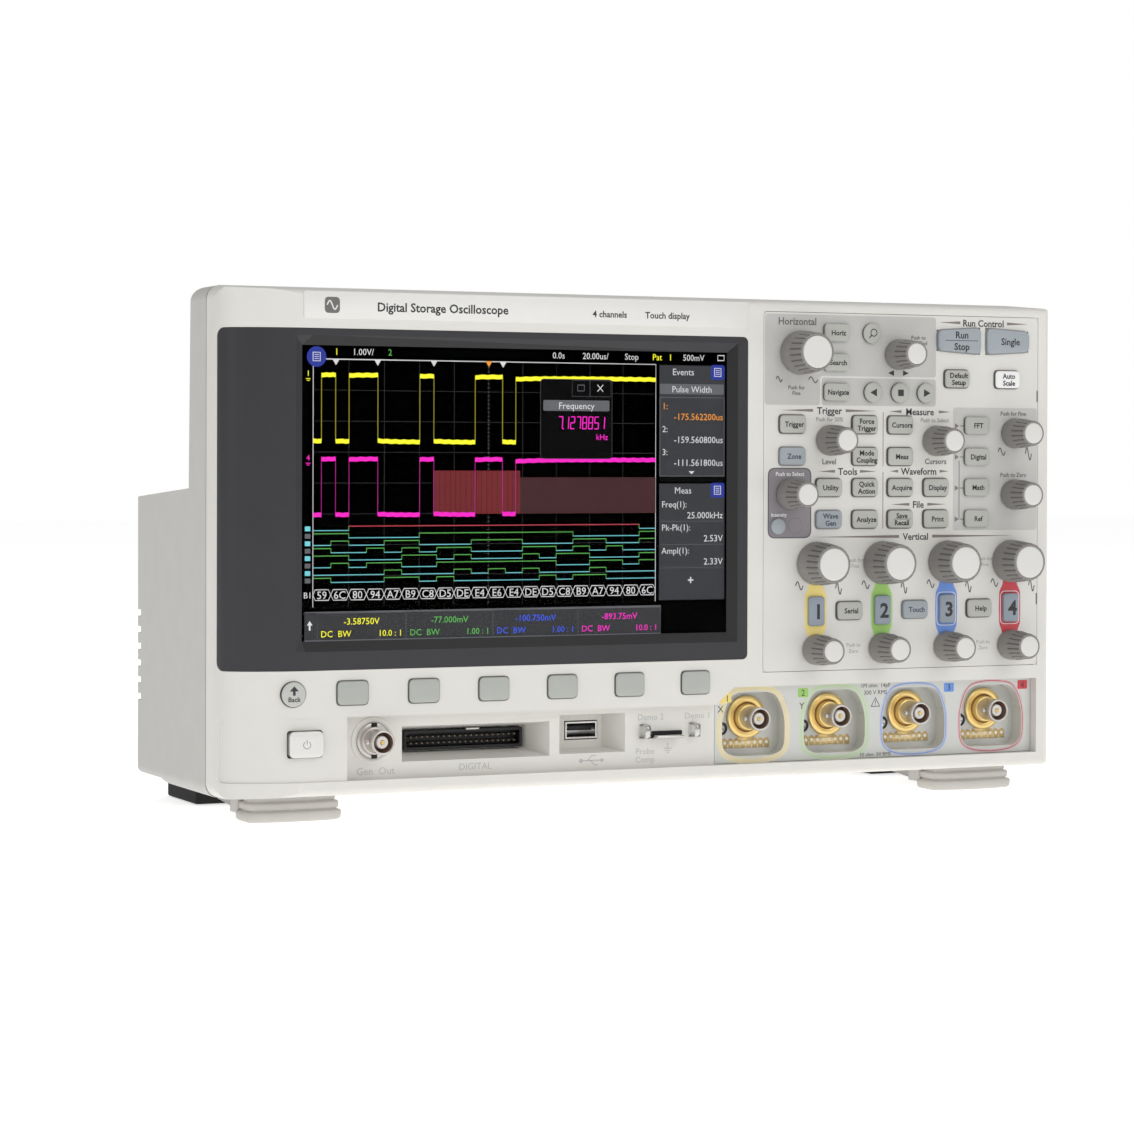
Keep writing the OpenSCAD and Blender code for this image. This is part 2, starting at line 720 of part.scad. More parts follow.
// Connector with a small flange that lies on the front of its wall
module bnc_small(wall_face, tail) {
    rotate([-90, 0, 0]) difference() {
        union() {
            translate([0, 0, wall_face - bnc_len]) cylinder(h = bnc_len, d = bnc_d);
            translate([0, 0, wall_face - 1.4]) cylinder(h = 1.4, d = 14.4);
            translate([0, 0, wall_face - 1]) cylinder(h = tail + 1, d = 11);
        }
        difference() {
            translate([0, 0, wall_face - bnc_len - 1]) cylinder(h = 9, d = bnc_d - 1.6);
            translate([0, 0, wall_face - bnc_len]) cylinder(h = 12, d = 4.6);
        }
    }
}

// A bus socket: a metal box with a tongue, mouth towards -y at y = 0
module bus_socket(depth) {
    difference() {
        span([-7.3, 0, -3.6], [7.3, depth, 3.6]);
        span([-6.5, -1, -2.8], [6.5, 9, 2.8]);
    }
    span([-5.6, 1.5, 0.4], [5.6, 9.5, 1.9]);
}

module usb_ports() {
    color([0.72, 0.72, 0.7]) home() {
        translate([usb_port_x, bay_d + usb_d - 0.4, usb_port_z]) bus_socket(bulkhead_y - bay_d - usb_d + 0.4);
        translate([rear_usb_x, rear_y + 0.4, rear_usb_z]) rotate([0, 0, 180]) bus_socket(15);
    }
}

module demo_terminals() {
    color([0.8, 0.8, 0.78]) home() {
        for (x = demo_x) difference() {
            translate([x, 0, demo_z]) along_y(bay_d - 4.4, bay_d + bay_floor + 1) square([2.6, 5.6], center = true);
            translate([x - 3, bay_d - 1.9, demo_z]) along_x(0, 6) square([3, 3.4], center = true);
        }
        span([tab_x[0], bay_d - 5.4, tab_z[0]], [tab_x[1], bay_d + bay_floor + 1, tab_z[1]]);
        // carrier behind the bay
        span([demo_x[0] - 4, bay_d + bay_floor + 0.3, demo_z - 6], [demo_x[1] + 4, bay_d + bay_floor + 1.9, demo_z + 6]);
    }
}

module digital_connector() {
    w = header_w / 2 - fit_gap;
    h = header_h / 2 - fit_gap;
    skin = 1.2;
    color([0.12, 0.12, 0.13]) home() translate([header_x, bay_d + digital_d, header_z]) difference() {
        span([-w, -3, -h], [w, bulkhead_y - bay_d - digital_d, h]);
        span([-w + skin, -4, -h + skin], [w - skin, 3, h - skin]);
    }
}

// ---------- cabinet and inner works ----------

// Side outline of the cabinet in y and z, drawn in by t
function cabinet_side(t) = concat(
    [[seam_y + fit_gap, seam_low + t], [low_y - 4, low_z + t], [low_y, rear_low_z + t]],
    arc([rear_y - 4, rear_low_z + 4], 4 - t, 270, 360, 4),
    arc([rear_y - 3, ledge_z - 7], 3 - min(t, 2.9), 0, 90, 4),
    [[step_y + 2 - t, ledge_z - t]],
    arc([step_y - 4, body_h - 4.2], 4 - t, 0, 90, 4),
    [[seam_y + fit_gap, body_h - t]]);

module cabinet_body(t, x_t) {
    intersection() {
        along_x(left + x_t, right - x_t) polygon(cabinet_side(t));
        linear_extrude(body_h + 10) translate([0, (rear_y - x_t) / 2])
            round_rect(body_w - 2 * x_t, rear_y - x_t, max(cabinet_r - x_t, 1));
        // long edges rounded to meet the bezel's outline
        along_y(seam_y - 1, rear_y + 1) translate([0, (body_h + low_z) / 2])
            round_rect(body_w - 2 * x_t, body_h - low_z - 2 * t, max(outline_r - x_t, 1));
    }
}

module rear_cabinet() {
    color([0.75, 0.75, 0.74]) home() difference() {
        union() {
            difference() {
                cabinet_body(0, 0);
                difference() {
                    cabinet_body(wall, wall);
                    // screw bosses
                    for (s = screw_places()) translate([s[0], rear_y - 16, s[1]]) rotate([-90, 0, 0])
                        cylinder(h = 16, d = boss_d);
                }
                // open front
                span([left + wall, seam_y - 1, seam_low + wall], [right - wall, seam_y + 4, body_h - wall]);
            }
            // tub that the trigger connectors sit back in
            span([trig_xs[0] - trig_tub[0] - 2, rear_y - trig_d - wall, trig_z - trig_tub[1] - 2],
                [trig_xs[1] + trig_tub[0] + 2, rear_y - 1, trig_z + trig_tub[1] + 1]);
            // handle ears
            for (s = [-1, 1]) translate([s * (handle_w / 2 + arm_t / 2 + 0.4 + ear_t / 2), 0, 0]) {
                span([-ear_t / 2, step_y - 1, handle_z - 8], [ear_t / 2, handle_y, handle_z + 8]);
                translate([-ear_t / 2, handle_y, handle_z]) rotate([0, 90, 0]) cylinder(h = ear_t, d = 16);
            }
            // handle pins
            for (s = [-1, 1]) translate([s * (handle_w / 2 + 1), handle_y, handle_z]) rotate([0, 90, 0])
                cylinder(h = arm_t + 3, d = handle_pin_d, center = true);
        }
        // vent slots that wrap the rear left corner
        for (i = [0:vent_n - 1]) translate([0, 0, vent_z + i * vent_pitch - vent_h / 2]) {
            span([left - 1, rear_y - vent_d, 0], [vent_end, rear_y + 1, vent_h]);
        }
        // slots in the other side
        for (i = [0:vent_n - 1]) translate([0, 0, vent_z + i * vent_pitch - vent_h / 2])
            span([right - wall - 1, side_vent_y[0], 0], [right + 1, side_vent_y[1], vent_h]);
        // fan outlet rings
        for (r = [8:7:36]) translate([fan_x, rear_y - wall - 1, fan_z]) rotate([-90, 0, 0]) difference() {
            cylinder(h = wall + 2, r = r + 2);
            translate([0, 0, -1]) cylinder(h = wall + 4, r = r - 2);
            for (a = [0, 90]) rotate([0, 0, a + 45]) translate([-50, -1.5, -2]) cube([100, 3, wall + 6]);
        }
        // openings for the inlet, the module slot and the connectors
        span([inlet_x - inlet_w / 2 - fit_gap, rear_y - 6, inlet_z - inlet_h / 2 - fit_gap],
            [inlet_x + inlet_w / 2 + fit_gap, rear_y + 1, inlet_z + inlet_h / 2 + fit_gap]);
        span([module_x - module_w / 2 + 3, rear_y - 6, module_z - module_h / 2 + 3],
            [module_x + module_w / 2 - 3, rear_y + 1, module_z + module_h / 2 - 3]);
        span([trig_xs[0] - trig_tub[0], rear_y - trig_d, trig_z - trig_tub[1]],
            [trig_xs[1] + trig_tub[0], rear_y + 1, trig_z + trig_tub[1]]);
        for (x = trig_xs) translate([x, rear_y - trig_d - wall - 1, trig_z]) rotate([-90, 0, 0])
            cylinder(h = wall + 2, d = 11.4);
        span([rear_usb_x - 7.6, rear_y - 6, rear_usb_z - 3.9], [rear_usb_x + 7.6, rear_y + 1, rear_usb_z + 3.9]);
        // lock slot
        span([lock_x[0], rear_y - 6, lock_z[0]], [lock_x[1], rear_y + 1, lock_z[1]]);
        // screw holes
        for (s = screw_places()) translate([s[0], rear_y - 17, s[1]]) rotate([-90, 0, 0]) {
            cylinder(h = 20, d = 3.4);
            translate([0, 0, 15]) cylinder(h = 5, d = boss_d);
        }
    }
}

function screw_places() = [for (s = [-1, 1], z = screw_zs) [s * (body_w / 2 - screw_in), z]];

module chassis_deck() {
    color([0.7, 0.71, 0.72]) home() difference() {
        union() {
            span([left + 6, bulkhead_y, deck_z], [right - 6, rear_y - 7, deck_z + sheet]);
            span([left + 6, bulkhead_y, deck_z], [right - 6, bulkhead_y + sheet, body_h - 6]);
            // stand-offs of the main board
            for (x = [right - 196, right - 20], y = [bulkhead_y + 12, rear_y - 36])
                translate([x, y, deck_z + sheet - eps]) cylinder(h = stand_off, d = 6);
        }
        for (x = input_xs) translate([x, bulkhead_y - 1, input_z]) rotate([-90, 0, 0]) cylinder(h = 4, d = 13);
    }
}

module main_board() {
    z0 = deck_z + sheet + stand_off - eps;
    x0 = right - 205;
    color([0.1, 0.35, 0.2]) home() union() {
        span([x0, bulkhead_y + 8, z0], [right - 12, rear_y - 30, z0 + 1.6]);
        // shield over the input amplifiers
        span([input_left, bulkhead_y + 9, z0 + 1.6 - eps], [right - 16, bulkhead_y + 34, z0 + 24]);
        // heat sink
        span([x0 + 14, bulkhead_y + 14, z0 + 1.6 - eps], [x0 + 50, bulkhead_y + 50, z0 + 6]);
        for (i = [0:8]) span([x0 + 14, bulkhead_y + 14 + i * 4.2, z0 + 5], [x0 + 50, bulkhead_y + 15.6 + i * 4.2, z0 + 18]);
    }
}

module power_supply() {
    color([0.66, 0.67, 0.68]) home()
        span([inlet_x - 42, bulkhead_y + 12, deck_z + sheet], [inlet_x + 38, rear_y - 26, 62]);
}

module mains_inlet() {
    color([0.1, 0.1, 0.1]) home() translate([inlet_x, rear_y, inlet_z]) difference() {
        union() {
            span([-inlet_w / 2, -24, -inlet_h / 2], [inlet_w / 2, 0.8, inlet_h / 2]);
            span([-inlet_w / 2 - 3, -25.9, -inlet_h / 2 + 1], [inlet_w / 2 + 3, -17.9, inlet_h / 2 - 1]);
        }
        span([-inlet_w / 2 + 2, -16, -inlet_h / 2 + 2], [inlet_w / 2 - 2, 2, inlet_h / 2 - 2]);
        for (x = [-7, 7]) span([x - 1.2, -18, -3], [x + 1.2, -15, 1]);
    }
}

module module_cover() {
    color([0.7, 0.7, 0.69]) home() translate([module_x, rear_y, module_z]) {
        along_y(0, 1.4) round_rect(module_w, module_h, 2);
        along_y(-3.6, 0.2) round_rect(module_w - 6.6, module_h - 6.6, 1.2);
    }
}

module fan_frame() {
    h = fan_w / 2;
    y1 = rear_y - wall;
    color([0.13, 0.13, 0.14]) home() translate([fan_x, 0, fan_z]) {
        difference() {
            along_y(y1 - fan_d, y1) round_rect(fan_w, fan_w, 5);
            along_y(y1 - fan_d - 1, y1 + 1) circle(h - 2);
            for (x = [-1, 1], z = [-1, 1]) translate([x * (h - 4.3), 0, z * (h - 4.3)])
                along_y(y1 - fan_d - 1, y1 + 1) circle(2.1);
        }
        // motor seat with its struts and shaft
        for (a = [0, 90]) rotate([0, a + 20, 0]) span([-h + 1, y1 - 3.4, -1.6], [h - 1, y1 - 1.4, 1.6]);
        along_y(y1 - 5, y1 - 1) circle(15);
        along_y(y1 - 20, y1 - 4) circle(2);
    }
}

module fan_rotor() {
    y1 = rear_y - wall;
    hub_r = 15;
    blades = 7;
    blade_len = fan_w / 2 - hub_r - 5;
    color([0.2, 0.2, 0.21]) home() translate([fan_x, 0, fan_z]) difference() {
        union() {
            along_y(y1 - 22, y1 - 6) circle(hub_r);
            for (i = [0:blades - 1]) rotate([0, i * 360 / blades, 0]) translate([hub_r - 1, y1 - 14, 0])
                rotate([35, 0, 0]) translate([0, -0.7, -9]) cube([blade_len, 1.4, 18]);
        }
        along_y(y1 - 23, y1 - 5) circle(2 + shaft_gap);
    }
}

// ---------- feet, legs and handle ----------

module foot_outline(grow = 0) {
    // flat back and a crowned front
    front = 9.2;
    intersection() {
        translate([-foot_w / 2 - grow, front - 1]) square([foot_w + 2 * grow, foot_d + 1]);
        translate([0, front + 62 - grow]) circle(62, $fn = 120);
    }
}

// Everything above the underside of the body
module body_underside() {
    along_x(-foot_w, foot_w) polygon([[edge_r, under_z], [seam_y, seam_low], [low_y - 4, low_z],
        [low_y - 4, 40], [edge_r, 40]]);
}

module front_feet() {
    color([0.8, 0.79, 0.77]) home() for (s = [-1, 1]) translate([s * foot_off, 0, 0]) {
        difference() {
            union() {
                linear_extrude(3.1) foot_outline();
                translate([0, 0, 2]) linear_extrude(8) foot_outline(-1);
                translate([0, 0, 3.8]) linear_extrude(3) foot_outline();
                translate([0, 0, 7.5]) linear_extrude(4) foot_outline(-0.4);
            }
            // round seat in front of the leg's barrel
            translate([-foot_w, leg_y, leg_z]) rotate([0, 90, 0]) cylinder(h = 2 * foot_w, d = 7.4);
            span([-foot_w, leg_y - 2, -1], [foot_w, leg_y + 10, 7]);
            body_underside();
        }
        // ears and the pin of the tilt leg
        for (e = [-1, 1]) difference() {
            span([e * (foot_w / 2 - 2) - 1.6, 24, 2.6], [e * (foot_w / 2 - 2) + 1.6, leg_y + 3, 12]);
            body_underside();
        }
        translate([0, leg_y, leg_z]) rotate([0, 90, 0]) cylinder(h = foot_w - 3, d = leg_pin_d, center = true);
    }
}

module tilt_leg(s) {
    w = foot_w - 2 * 3.6 - 0.8;
    color([0.62, 0.62, 0.6]) home() translate([s * foot_off, leg_y, leg_z]) difference() {
        union() {
            rotate([0, 90, 0]) cylinder(h = w, d = 6, center = true);
            along_x(-w / 2, w / 2) polygon([[0, -3], [leg_len - 3, -0.4], [leg_len, 1], [leg_len, 2.6], [0, 3]]);
        }
        rotate([0, 90, 0]) cylinder(h = w + 2, d = leg_pin_d + 2 * shaft_gap, center = true);
    }
}

module tilt_leg_left() { tilt_leg(-1); }
module tilt_leg_right() { tilt_leg(1); }

module rear_feet() {
    inner = 15;
    color([0.1, 0.1, 0.1]) home() for (s = [-1, 1])
        translate([s * (body_w / 2 - inner - rear_foot_w / 2), 0, 0]) union() {
            span([-rear_foot_w / 2, rear_foot_y, 0], [rear_foot_w / 2, rear_y + rear_bumper, low_z - 0.3]);
            span([-rear_foot_w / 2, low_y + 1, 0.5], [rear_foot_w / 2, rear_y + rear_bumper, rear_low_z]);
            span([-rear_foot_w / 2, rear_y + 0.2, 0.5], [rear_foot_w / 2, rear_y + rear_bumper, 26]);
        }
}

module carry_handle() {
    color([0.45, 0.45, 0.46]) home() difference() {
        union() {
            for (s = [-1, 1]) translate([s * handle_w / 2, handle_y, handle_z]) {
                along_x(-arm_t / 2, arm_t / 2) union() {
                    circle(arm_w / 2 + 1.5);
                    translate([-arm_w / 2, -handle_len]) square([arm_w, handle_len]);
                }
            }
            translate([0, handle_y, handle_z - handle_len]) rotate([0, 90, 0])
                cylinder(h = handle_w + arm_t, d = grip_d, center = true);
        }
        for (s = [-1, 1]) translate([s * handle_w / 2, handle_y, handle_z]) rotate([0, 90, 0])
            cylinder(h = arm_t + 2, d = handle_pin_d + 2 * shaft_gap, center = true);
    }
}

module screws() {
    color([0.75, 0.75, 0.74]) home() for (s = screw_places()) translate([s[0], rear_y, s[1]])
        rotate([-90, 0, 0]) {
            translate([0, 0, -2]) cylinder(h = 2, d = 6);
            translate([0, 0, -14]) cylinder(h = 13, d = 3);
        }
}

// ---------- build ----------

front_bezel();
display_surround();
touch_glass();
lcd_panel();
keypad_panel();
input_panel();
rear_cabinet();
chassis_deck();
main_board();
keyboard_board();
rotary_encoders();
power_supply();
fan_frame();
fan_rotor();
bnc_connectors();
usb_ports();
demo_terminals();
digital_connector();
front_feet();
rear_feet();
mains_inlet();
module_cover();
screws();
knob(knob_places[0], big_knob_d);  // horizontal_scale_knob
knob(knob_places[1], small_knob_d);  // horizontal_delay_knob
knob(knob_places[2], small_knob_d);  // trigger_level_knob
knob(knob_places[3], small_knob_d);  // cursors_knob
knob(knob_places[4], small_knob_d);  // function_scale_knob
knob(knob_places[5], small_knob_d);  // function_offset_knob
knob(knob_places[6], small_knob_d);  // entry_knob
knob([channel_x[0], scale_z], big_knob_d);  // scale_knob_1
knob([channel_x[1], scale_z], big_knob_d);  // scale_knob_2
knob([channel_x[2], scale_z], big_knob_d);  // scale_knob_3
knob([channel_x[3], scale_z], big_knob_d);  // scale_knob_4
knob([channel_x[0], position_z], small_knob_d);  // position_knob_1
knob([channel_x[1], position_z], small_knob_d);  // position_knob_2
knob([channel_x[2], position_z], small_knob_d);  // position_knob_3
knob([channel_x[3], position_z], small_knob_d);  // position_knob_4
channel_key(0);  // channel_key_1
channel_key(1);  // channel_key_2
channel_key(2);  // channel_key_3
channel_key(3);  // channel_key_4
softkey(0);  // softkey_1
softkey(1);  // softkey_2
softkey(2);  // softkey_3
softkey(3);  // softkey_4
softkey(4);  // softkey_5
softkey(5);  // softkey_6
back_key();
power_key();
color([0.68, 0.73, 0.77]) home() run_key(run_keys[0]);  // run_stop_key
color([0.68, 0.73, 0.77]) home() run_key(run_keys[1]);  // single_key
setup_keys();
horizontal_keys();
trigger_keys();
measure_keys();
function_keys();
carry_handle();
tilt_leg_left();
tilt_leg_right();
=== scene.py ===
"""A bench oscilloscope, dressed piece by piece over its engineering frame.

Each sub-assembly is a class with its measured sizes as fields and a build method. All lengths in the
classes are millimetres from the flat front (depth grows towards the rear); the Plan turns them into
metres in the shared frame.
"""

import json
import logging
import math
from dataclasses import dataclass, field
from enum import Enum
from typing import Callable, Optional, Sequence

import bmesh
import bpy
from mathutils import Matrix, Vector

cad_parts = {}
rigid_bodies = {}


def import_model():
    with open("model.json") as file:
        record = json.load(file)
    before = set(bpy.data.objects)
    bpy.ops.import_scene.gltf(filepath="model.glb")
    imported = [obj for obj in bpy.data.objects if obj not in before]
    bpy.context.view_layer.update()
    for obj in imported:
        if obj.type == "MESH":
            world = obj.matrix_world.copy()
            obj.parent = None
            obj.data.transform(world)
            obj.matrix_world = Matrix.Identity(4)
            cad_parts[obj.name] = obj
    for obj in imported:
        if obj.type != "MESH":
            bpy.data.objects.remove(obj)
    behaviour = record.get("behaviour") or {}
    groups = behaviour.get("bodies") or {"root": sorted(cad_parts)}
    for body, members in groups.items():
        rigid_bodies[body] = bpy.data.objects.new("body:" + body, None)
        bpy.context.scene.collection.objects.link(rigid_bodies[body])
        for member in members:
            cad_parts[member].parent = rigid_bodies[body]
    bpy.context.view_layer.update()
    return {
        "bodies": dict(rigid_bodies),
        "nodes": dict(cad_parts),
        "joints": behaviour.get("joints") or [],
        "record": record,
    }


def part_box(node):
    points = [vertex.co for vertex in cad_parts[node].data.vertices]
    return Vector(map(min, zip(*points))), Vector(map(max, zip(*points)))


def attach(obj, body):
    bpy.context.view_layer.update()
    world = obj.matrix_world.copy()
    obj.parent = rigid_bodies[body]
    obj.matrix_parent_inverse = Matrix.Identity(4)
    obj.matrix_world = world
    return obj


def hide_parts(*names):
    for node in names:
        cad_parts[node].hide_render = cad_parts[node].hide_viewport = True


LOG = logging.getLogger("oscilloscope")
MM = 0.001
REPEAT = 1e-3
CAP_REAR = 1.4
PRINT_LIFT = 0.16
PAINT_LIFT = 0.02
NOISE_SCALE = 90.0
LACQUER_GLOSS = 0.12
BIG_KNOB = 0.016
BIG_FLUTES = 21
SMALL_FLUTES = 17
CABINET = "cabinet"

Pair = tuple[float, float]
Triple = tuple[float, float, float]
Loop = list[Vector]
Tones = Sequence[int] | Callable[[int, int], int]


class Align(Enum):
    """Where a word sits about its point."""

    CENTRE = "CENTER"
    LEFT = "LEFT"
    RIGHT = "RIGHT"


# ---------------------------------------------------------------- finishes


@dataclass(frozen=True)
class Finish:
    """One surface: its paint, gloss and moulded or brushed relief.

    Attributes:
        name: material name.
        slot: the record's material slot; not used.
        colour: red, green and blue from 0 to 255.
        roughness: mean roughness.
        metallic: 1 for bare metal.
        mottle: how far the colour drifts, as a part of it.
        grain: depth of the fine relief in millimetres.
        grain_size: width of the fine relief in millimetres.
        brushed: how far the relief is drawn out along X.
        glow: strength of emitted light.
        clear: part of the light let through.
        coat: strength of a clear lacquer.
        body: whether a glowing surface also shows its colour in room light.
        bend: how far light is bent, which sets how strongly the surface mirrors.
    """

    name: str
    slot: str
    colour: Triple
    roughness: float = 0.5
    metallic: float = 0.0
    mottle: float = 0.02
    grain: float = 0.01
    grain_size: float = 0.35
    brushed: float = 1.0
    glow: float = 0.0
    clear: float = 0.0
    coat: float = 0.0
    body: bool = False
    bend: float = 1.45

    def linear(self, gain: float = 1.0) -> tuple[float, float, float, float]:
        """The colour in linear light, times gain.

        Args:
            gain: factor on each tone before it is made linear.

        Returns:
            Red, green, blue and alpha.
        """
        tones = [(value / 255.0) * gain for value in self.colour]
        lit = [t / 12.92 if t <= 0.04045 else ((t + 0.055) / 1.055) ** 2.4 for t in tones]
        return (min(lit[0], 1.0), min(lit[1], 1.0), min(lit[2], 1.0), 1.0)


def ink(name: str, slot: str, colour: Triple, roughness: float = 0.45) -> Finish:
    """A printed colour with a slightly uneven body."""
    return Finish(name, slot, colour, roughness, mottle=0.04, grain=0.003, grain_size=0.2)


def lamp(name: str, colour: Triple, glow: float = 1.0) -> Finish:
    """A lit colour of the display."""
    return Finish(name, "display_module", colour, 0.6, mottle=0.06, grain=0.001, grain_size=0.3, glow=glow)


BEZEL = Finish("bezel_moulding", "bezel_plastic", (226, 224, 218), 0.42, grain=0.012, mottle=0.012)
STRIP = Finish("label_strip", "bezel_plastic", (230, 229, 225), 0.3, grain=0.004, mottle=0.01)
CASE = Finish("cabinet_moulding", "cabinet_plastic", (200, 198, 194), 0.55, grain=0.03, grain_size=0.6)
SURROUND = Finish("surround_satin", "surround_plastic", (50, 50, 53), 0.34, grain=0.006, mottle=0.05)
# The surround's inner bevel takes this darker copy of the surround finish: painted shade in the recess round
# the glass.
BEVEL = Finish("surround_bevel_painted_shade", "surround_plastic", (30, 30, 32), 0.34, grain=0.004, mottle=0.05)
GLASS = Finish(
    "touch_glass", "screen_glass", (250, 250, 252), 0.03, grain=0.0004, grain_size=9.0, clear=1.0, bend=1.08
)
PANEL_BLACK = Finish("display_black", "display_module", (2, 2, 3), 0.5, mottle=0.1, grain=0.001, bend=1.15)
FRAME_TIN = Finish("display_tin", "display_module", (150, 150, 155), 0.3, metallic=1.0, brushed=12.0)
FIELD = Finish("key_field", "field_plate", (223, 221, 216), 0.4, grain=0.008, mottle=0.012)
ZONE = ink("zone_grey", "field_plate", (194, 193, 190), 0.42)
ZONE_SOFT = ink("zone_light", "field_plate", (200, 199, 196), 0.42)
ENTRY = ink("entry_mauve", "field_plate", (138, 133, 137), 0.4)
ENTRY_RIM = ink("entry_rim", "field_plate", (95, 91, 96), 0.4)
ENTRY_MARK = ink("entry_mark", "field_plate", (120, 115, 120), 0.4)
POCKET = Finish("input_moulding", "pocket_plastic", (212, 213, 209), 0.42, grain=0.01, mottle=0.012)
KEY = Finish("legend_key", "key_rubber", (184, 184, 178), 0.5, grain=0.006, mottle=0.02)
# Flanks of the legend keys: a darker copy of the key face, painted shade on their sides.
KEY_FLANK_SHADE = Finish("legend_key_flank_painted_shade", "key_rubber", (96, 96, 93), 0.6, grain=0.006)
KEY_WHITE = Finish("white_key", "key_rubber", (243, 243, 241), 0.45, grain=0.006, mottle=0.01)
KEY_BLUE = Finish("blue_key", "key_blue", (161, 168, 173), 0.38, grain=0.005, mottle=0.03)
# Flanks of the blue keys: painted shade, a darker copy of the blue face.
KEY_BLUE_FLANK_SHADE = Finish("blue_key_flank_painted_shade", "key_blue", (144, 152, 160), 0.5, grain=0.005)
KEY_SLATE = Finish("slate_key", "key_blue", (150, 159, 170), 0.38, grain=0.005, mottle=0.03)
SOFTKEY = Finish("menu_key", "softkey_rubber", (179, 182, 176), 0.42, grain=0.006, mottle=0.02)
# Flanks of the menu keys: painted shade, a darker copy of the menu key face.
SOFTKEY_FLANK_SHADE = Finish("menu_key_flank_painted_shade", "softkey_rubber", (92, 95, 92), 0.55, grain=0.006)
BACK_TOP = Finish("back_key_top", "softkey_rubber", (196, 197, 192), 0.45, grain=0.006)
POWER = Finish("power_key", "power_plastic", (230, 229, 226), 0.22, grain=0.002, coat=0.4)
# Flanks of the power key: painted shade, a darker copy of its face.
POWER_FLANK_SHADE = Finish("power_key_flank_painted_shade", "power_plastic", (128, 127, 124), 0.4, grain=0.003)
KNOB = Finish("knob_grip", "knob_plastic", (139, 136, 133), 0.5, grain=0.012, grain_size=0.3, mottle=0.04)
# Floors of the knob flutes: painted shade, a darker copy of the grip.
KNOB_GROOVE_SHADE = Finish("knob_groove_painted_shade", "knob_plastic", (100, 98, 96), 0.6, grain=0.01, mottle=0.05)
KNOB_CAP = Finish("knob_cap", "knob_plastic", (220, 219, 215), 0.36, grain=0.004, mottle=0.01)
GOLD = Finish("gold_plate", "connector_gold", (255, 220, 146), 0.3, metallic=0.72, grain=0.004, mottle=0.03)
GOLD_PALE = Finish("pale_gold", "connector_gold", (250, 220, 158), 0.36, metallic=0.35, grain=0.004)
NICKEL = Finish("nickel_plate", "port_metal", (206, 201, 195), 0.3, metallic=0.74, grain=0.004, mottle=0.05)
STEEL = Finish("bright_steel", "port_metal", (208, 207, 204), 0.24, metallic=1.0, grain=0.004, brushed=6.0)
# Header pins, set back in the dark header: a darkened metal, painted shade for their recess.
PIN_SHADE = Finish("pin_painted_shade", "port_metal", (132, 126, 116), 0.42, metallic=0.6, grain=0.004)
# Inner walls of the socket washers and barrels: painted shade, a darkened copy of the gold.
BORE_SHADE = Finish("connector_bore_painted_shade", "connector_gold", (128, 104, 92), 0.36, metallic=0.5, grain=0.004)
DIELECTRIC = Finish("white_dielectric", "connector_gold", (226, 224, 218), 0.4, grain=0.004)
BLACK = Finish("black_moulding", "connector_black", (24, 24, 26), 0.4, grain=0.006, mottle=0.08)
# Near-black fill for notches, slots and port openings: painted shade where there is only shadow.
OPENING_SHADE = Finish("opening_painted_shade", "connector_black", (10, 10, 11), 0.6, grain=0.01, mottle=0.08)
FOOT = Finish("foot_moulding", "foot_plastic", (197, 194, 189), 0.5, grain=0.015, grain_size=0.5)
RUBBER = Finish("black_rubber", "foot_rubber", (30, 30, 31), 0.8, grain=0.04, grain_size=0.5, mottle=0.08)
LEG = Finish("leg_moulding", "leg_plastic", (168, 167, 164), 0.5, grain=0.015, grain_size=0.5)
HANDLE = Finish("handle_grip", "handle_plastic", (104, 104, 106), 0.62, grain=0.04, grain_size=0.5)
ZINC = Finish("zinc_sheet", "sheet_steel", (188, 190, 192), 0.34, metallic=1.0, brushed=14.0, grain=0.006)
SCREW = Finish("screw_steel", "screw_steel", (176, 176, 178), 0.3, metallic=1.0, grain=0.006)
CAN = Finish("encoder_can", "encoder_metal", (170, 171, 174), 0.34, metallic=1.0, brushed=6.0)
BOARD = Finish("solder_mask", "circuit_board", (26, 92, 56), 0.3, grain=0.02, grain_size=0.8, coat=0.3)
FAN = Finish("fan_black", "fan_plastic", (26, 26, 28), 0.4, grain=0.008)
# Painted shade: a dark band for the shadow in the seam between the front moulding and the cabinet.
SEAM_SHADE = Finish("seam_painted_shade", "cabinet_plastic", (112, 110, 108), 0.7, grain=0.01)

INK_DARK = ink("ink_dark", "field_plate", (52, 52, 54))
INK_DIM = ink("ink_dim", "field_plate", (84, 83, 84))
INK_MID = ink("ink_mid", "field_plate", (112, 110, 109))
INK_FAINT = ink("ink_faint", "field_plate", (160, 158, 155))
INK_LINE = ink("ink_line", "field_plate", (132, 122, 121))
INK_WHITE = ink("ink_white", "field_plate", (236, 235, 236))
# Painted shade: the bay's lettering is moulded in relief in the bay's own plastic, and its relief shade is
# printed as this grey.
INK_BAY_SHADE = ink("bay_lettering_painted_shade", "bezel_plastic", (190, 190, 187))
INK_KEY = ink("ink_key", "key_rubber", (38, 38, 40))
INK_SLATE = ink("ink_slate", "key_blue", (66, 76, 92))
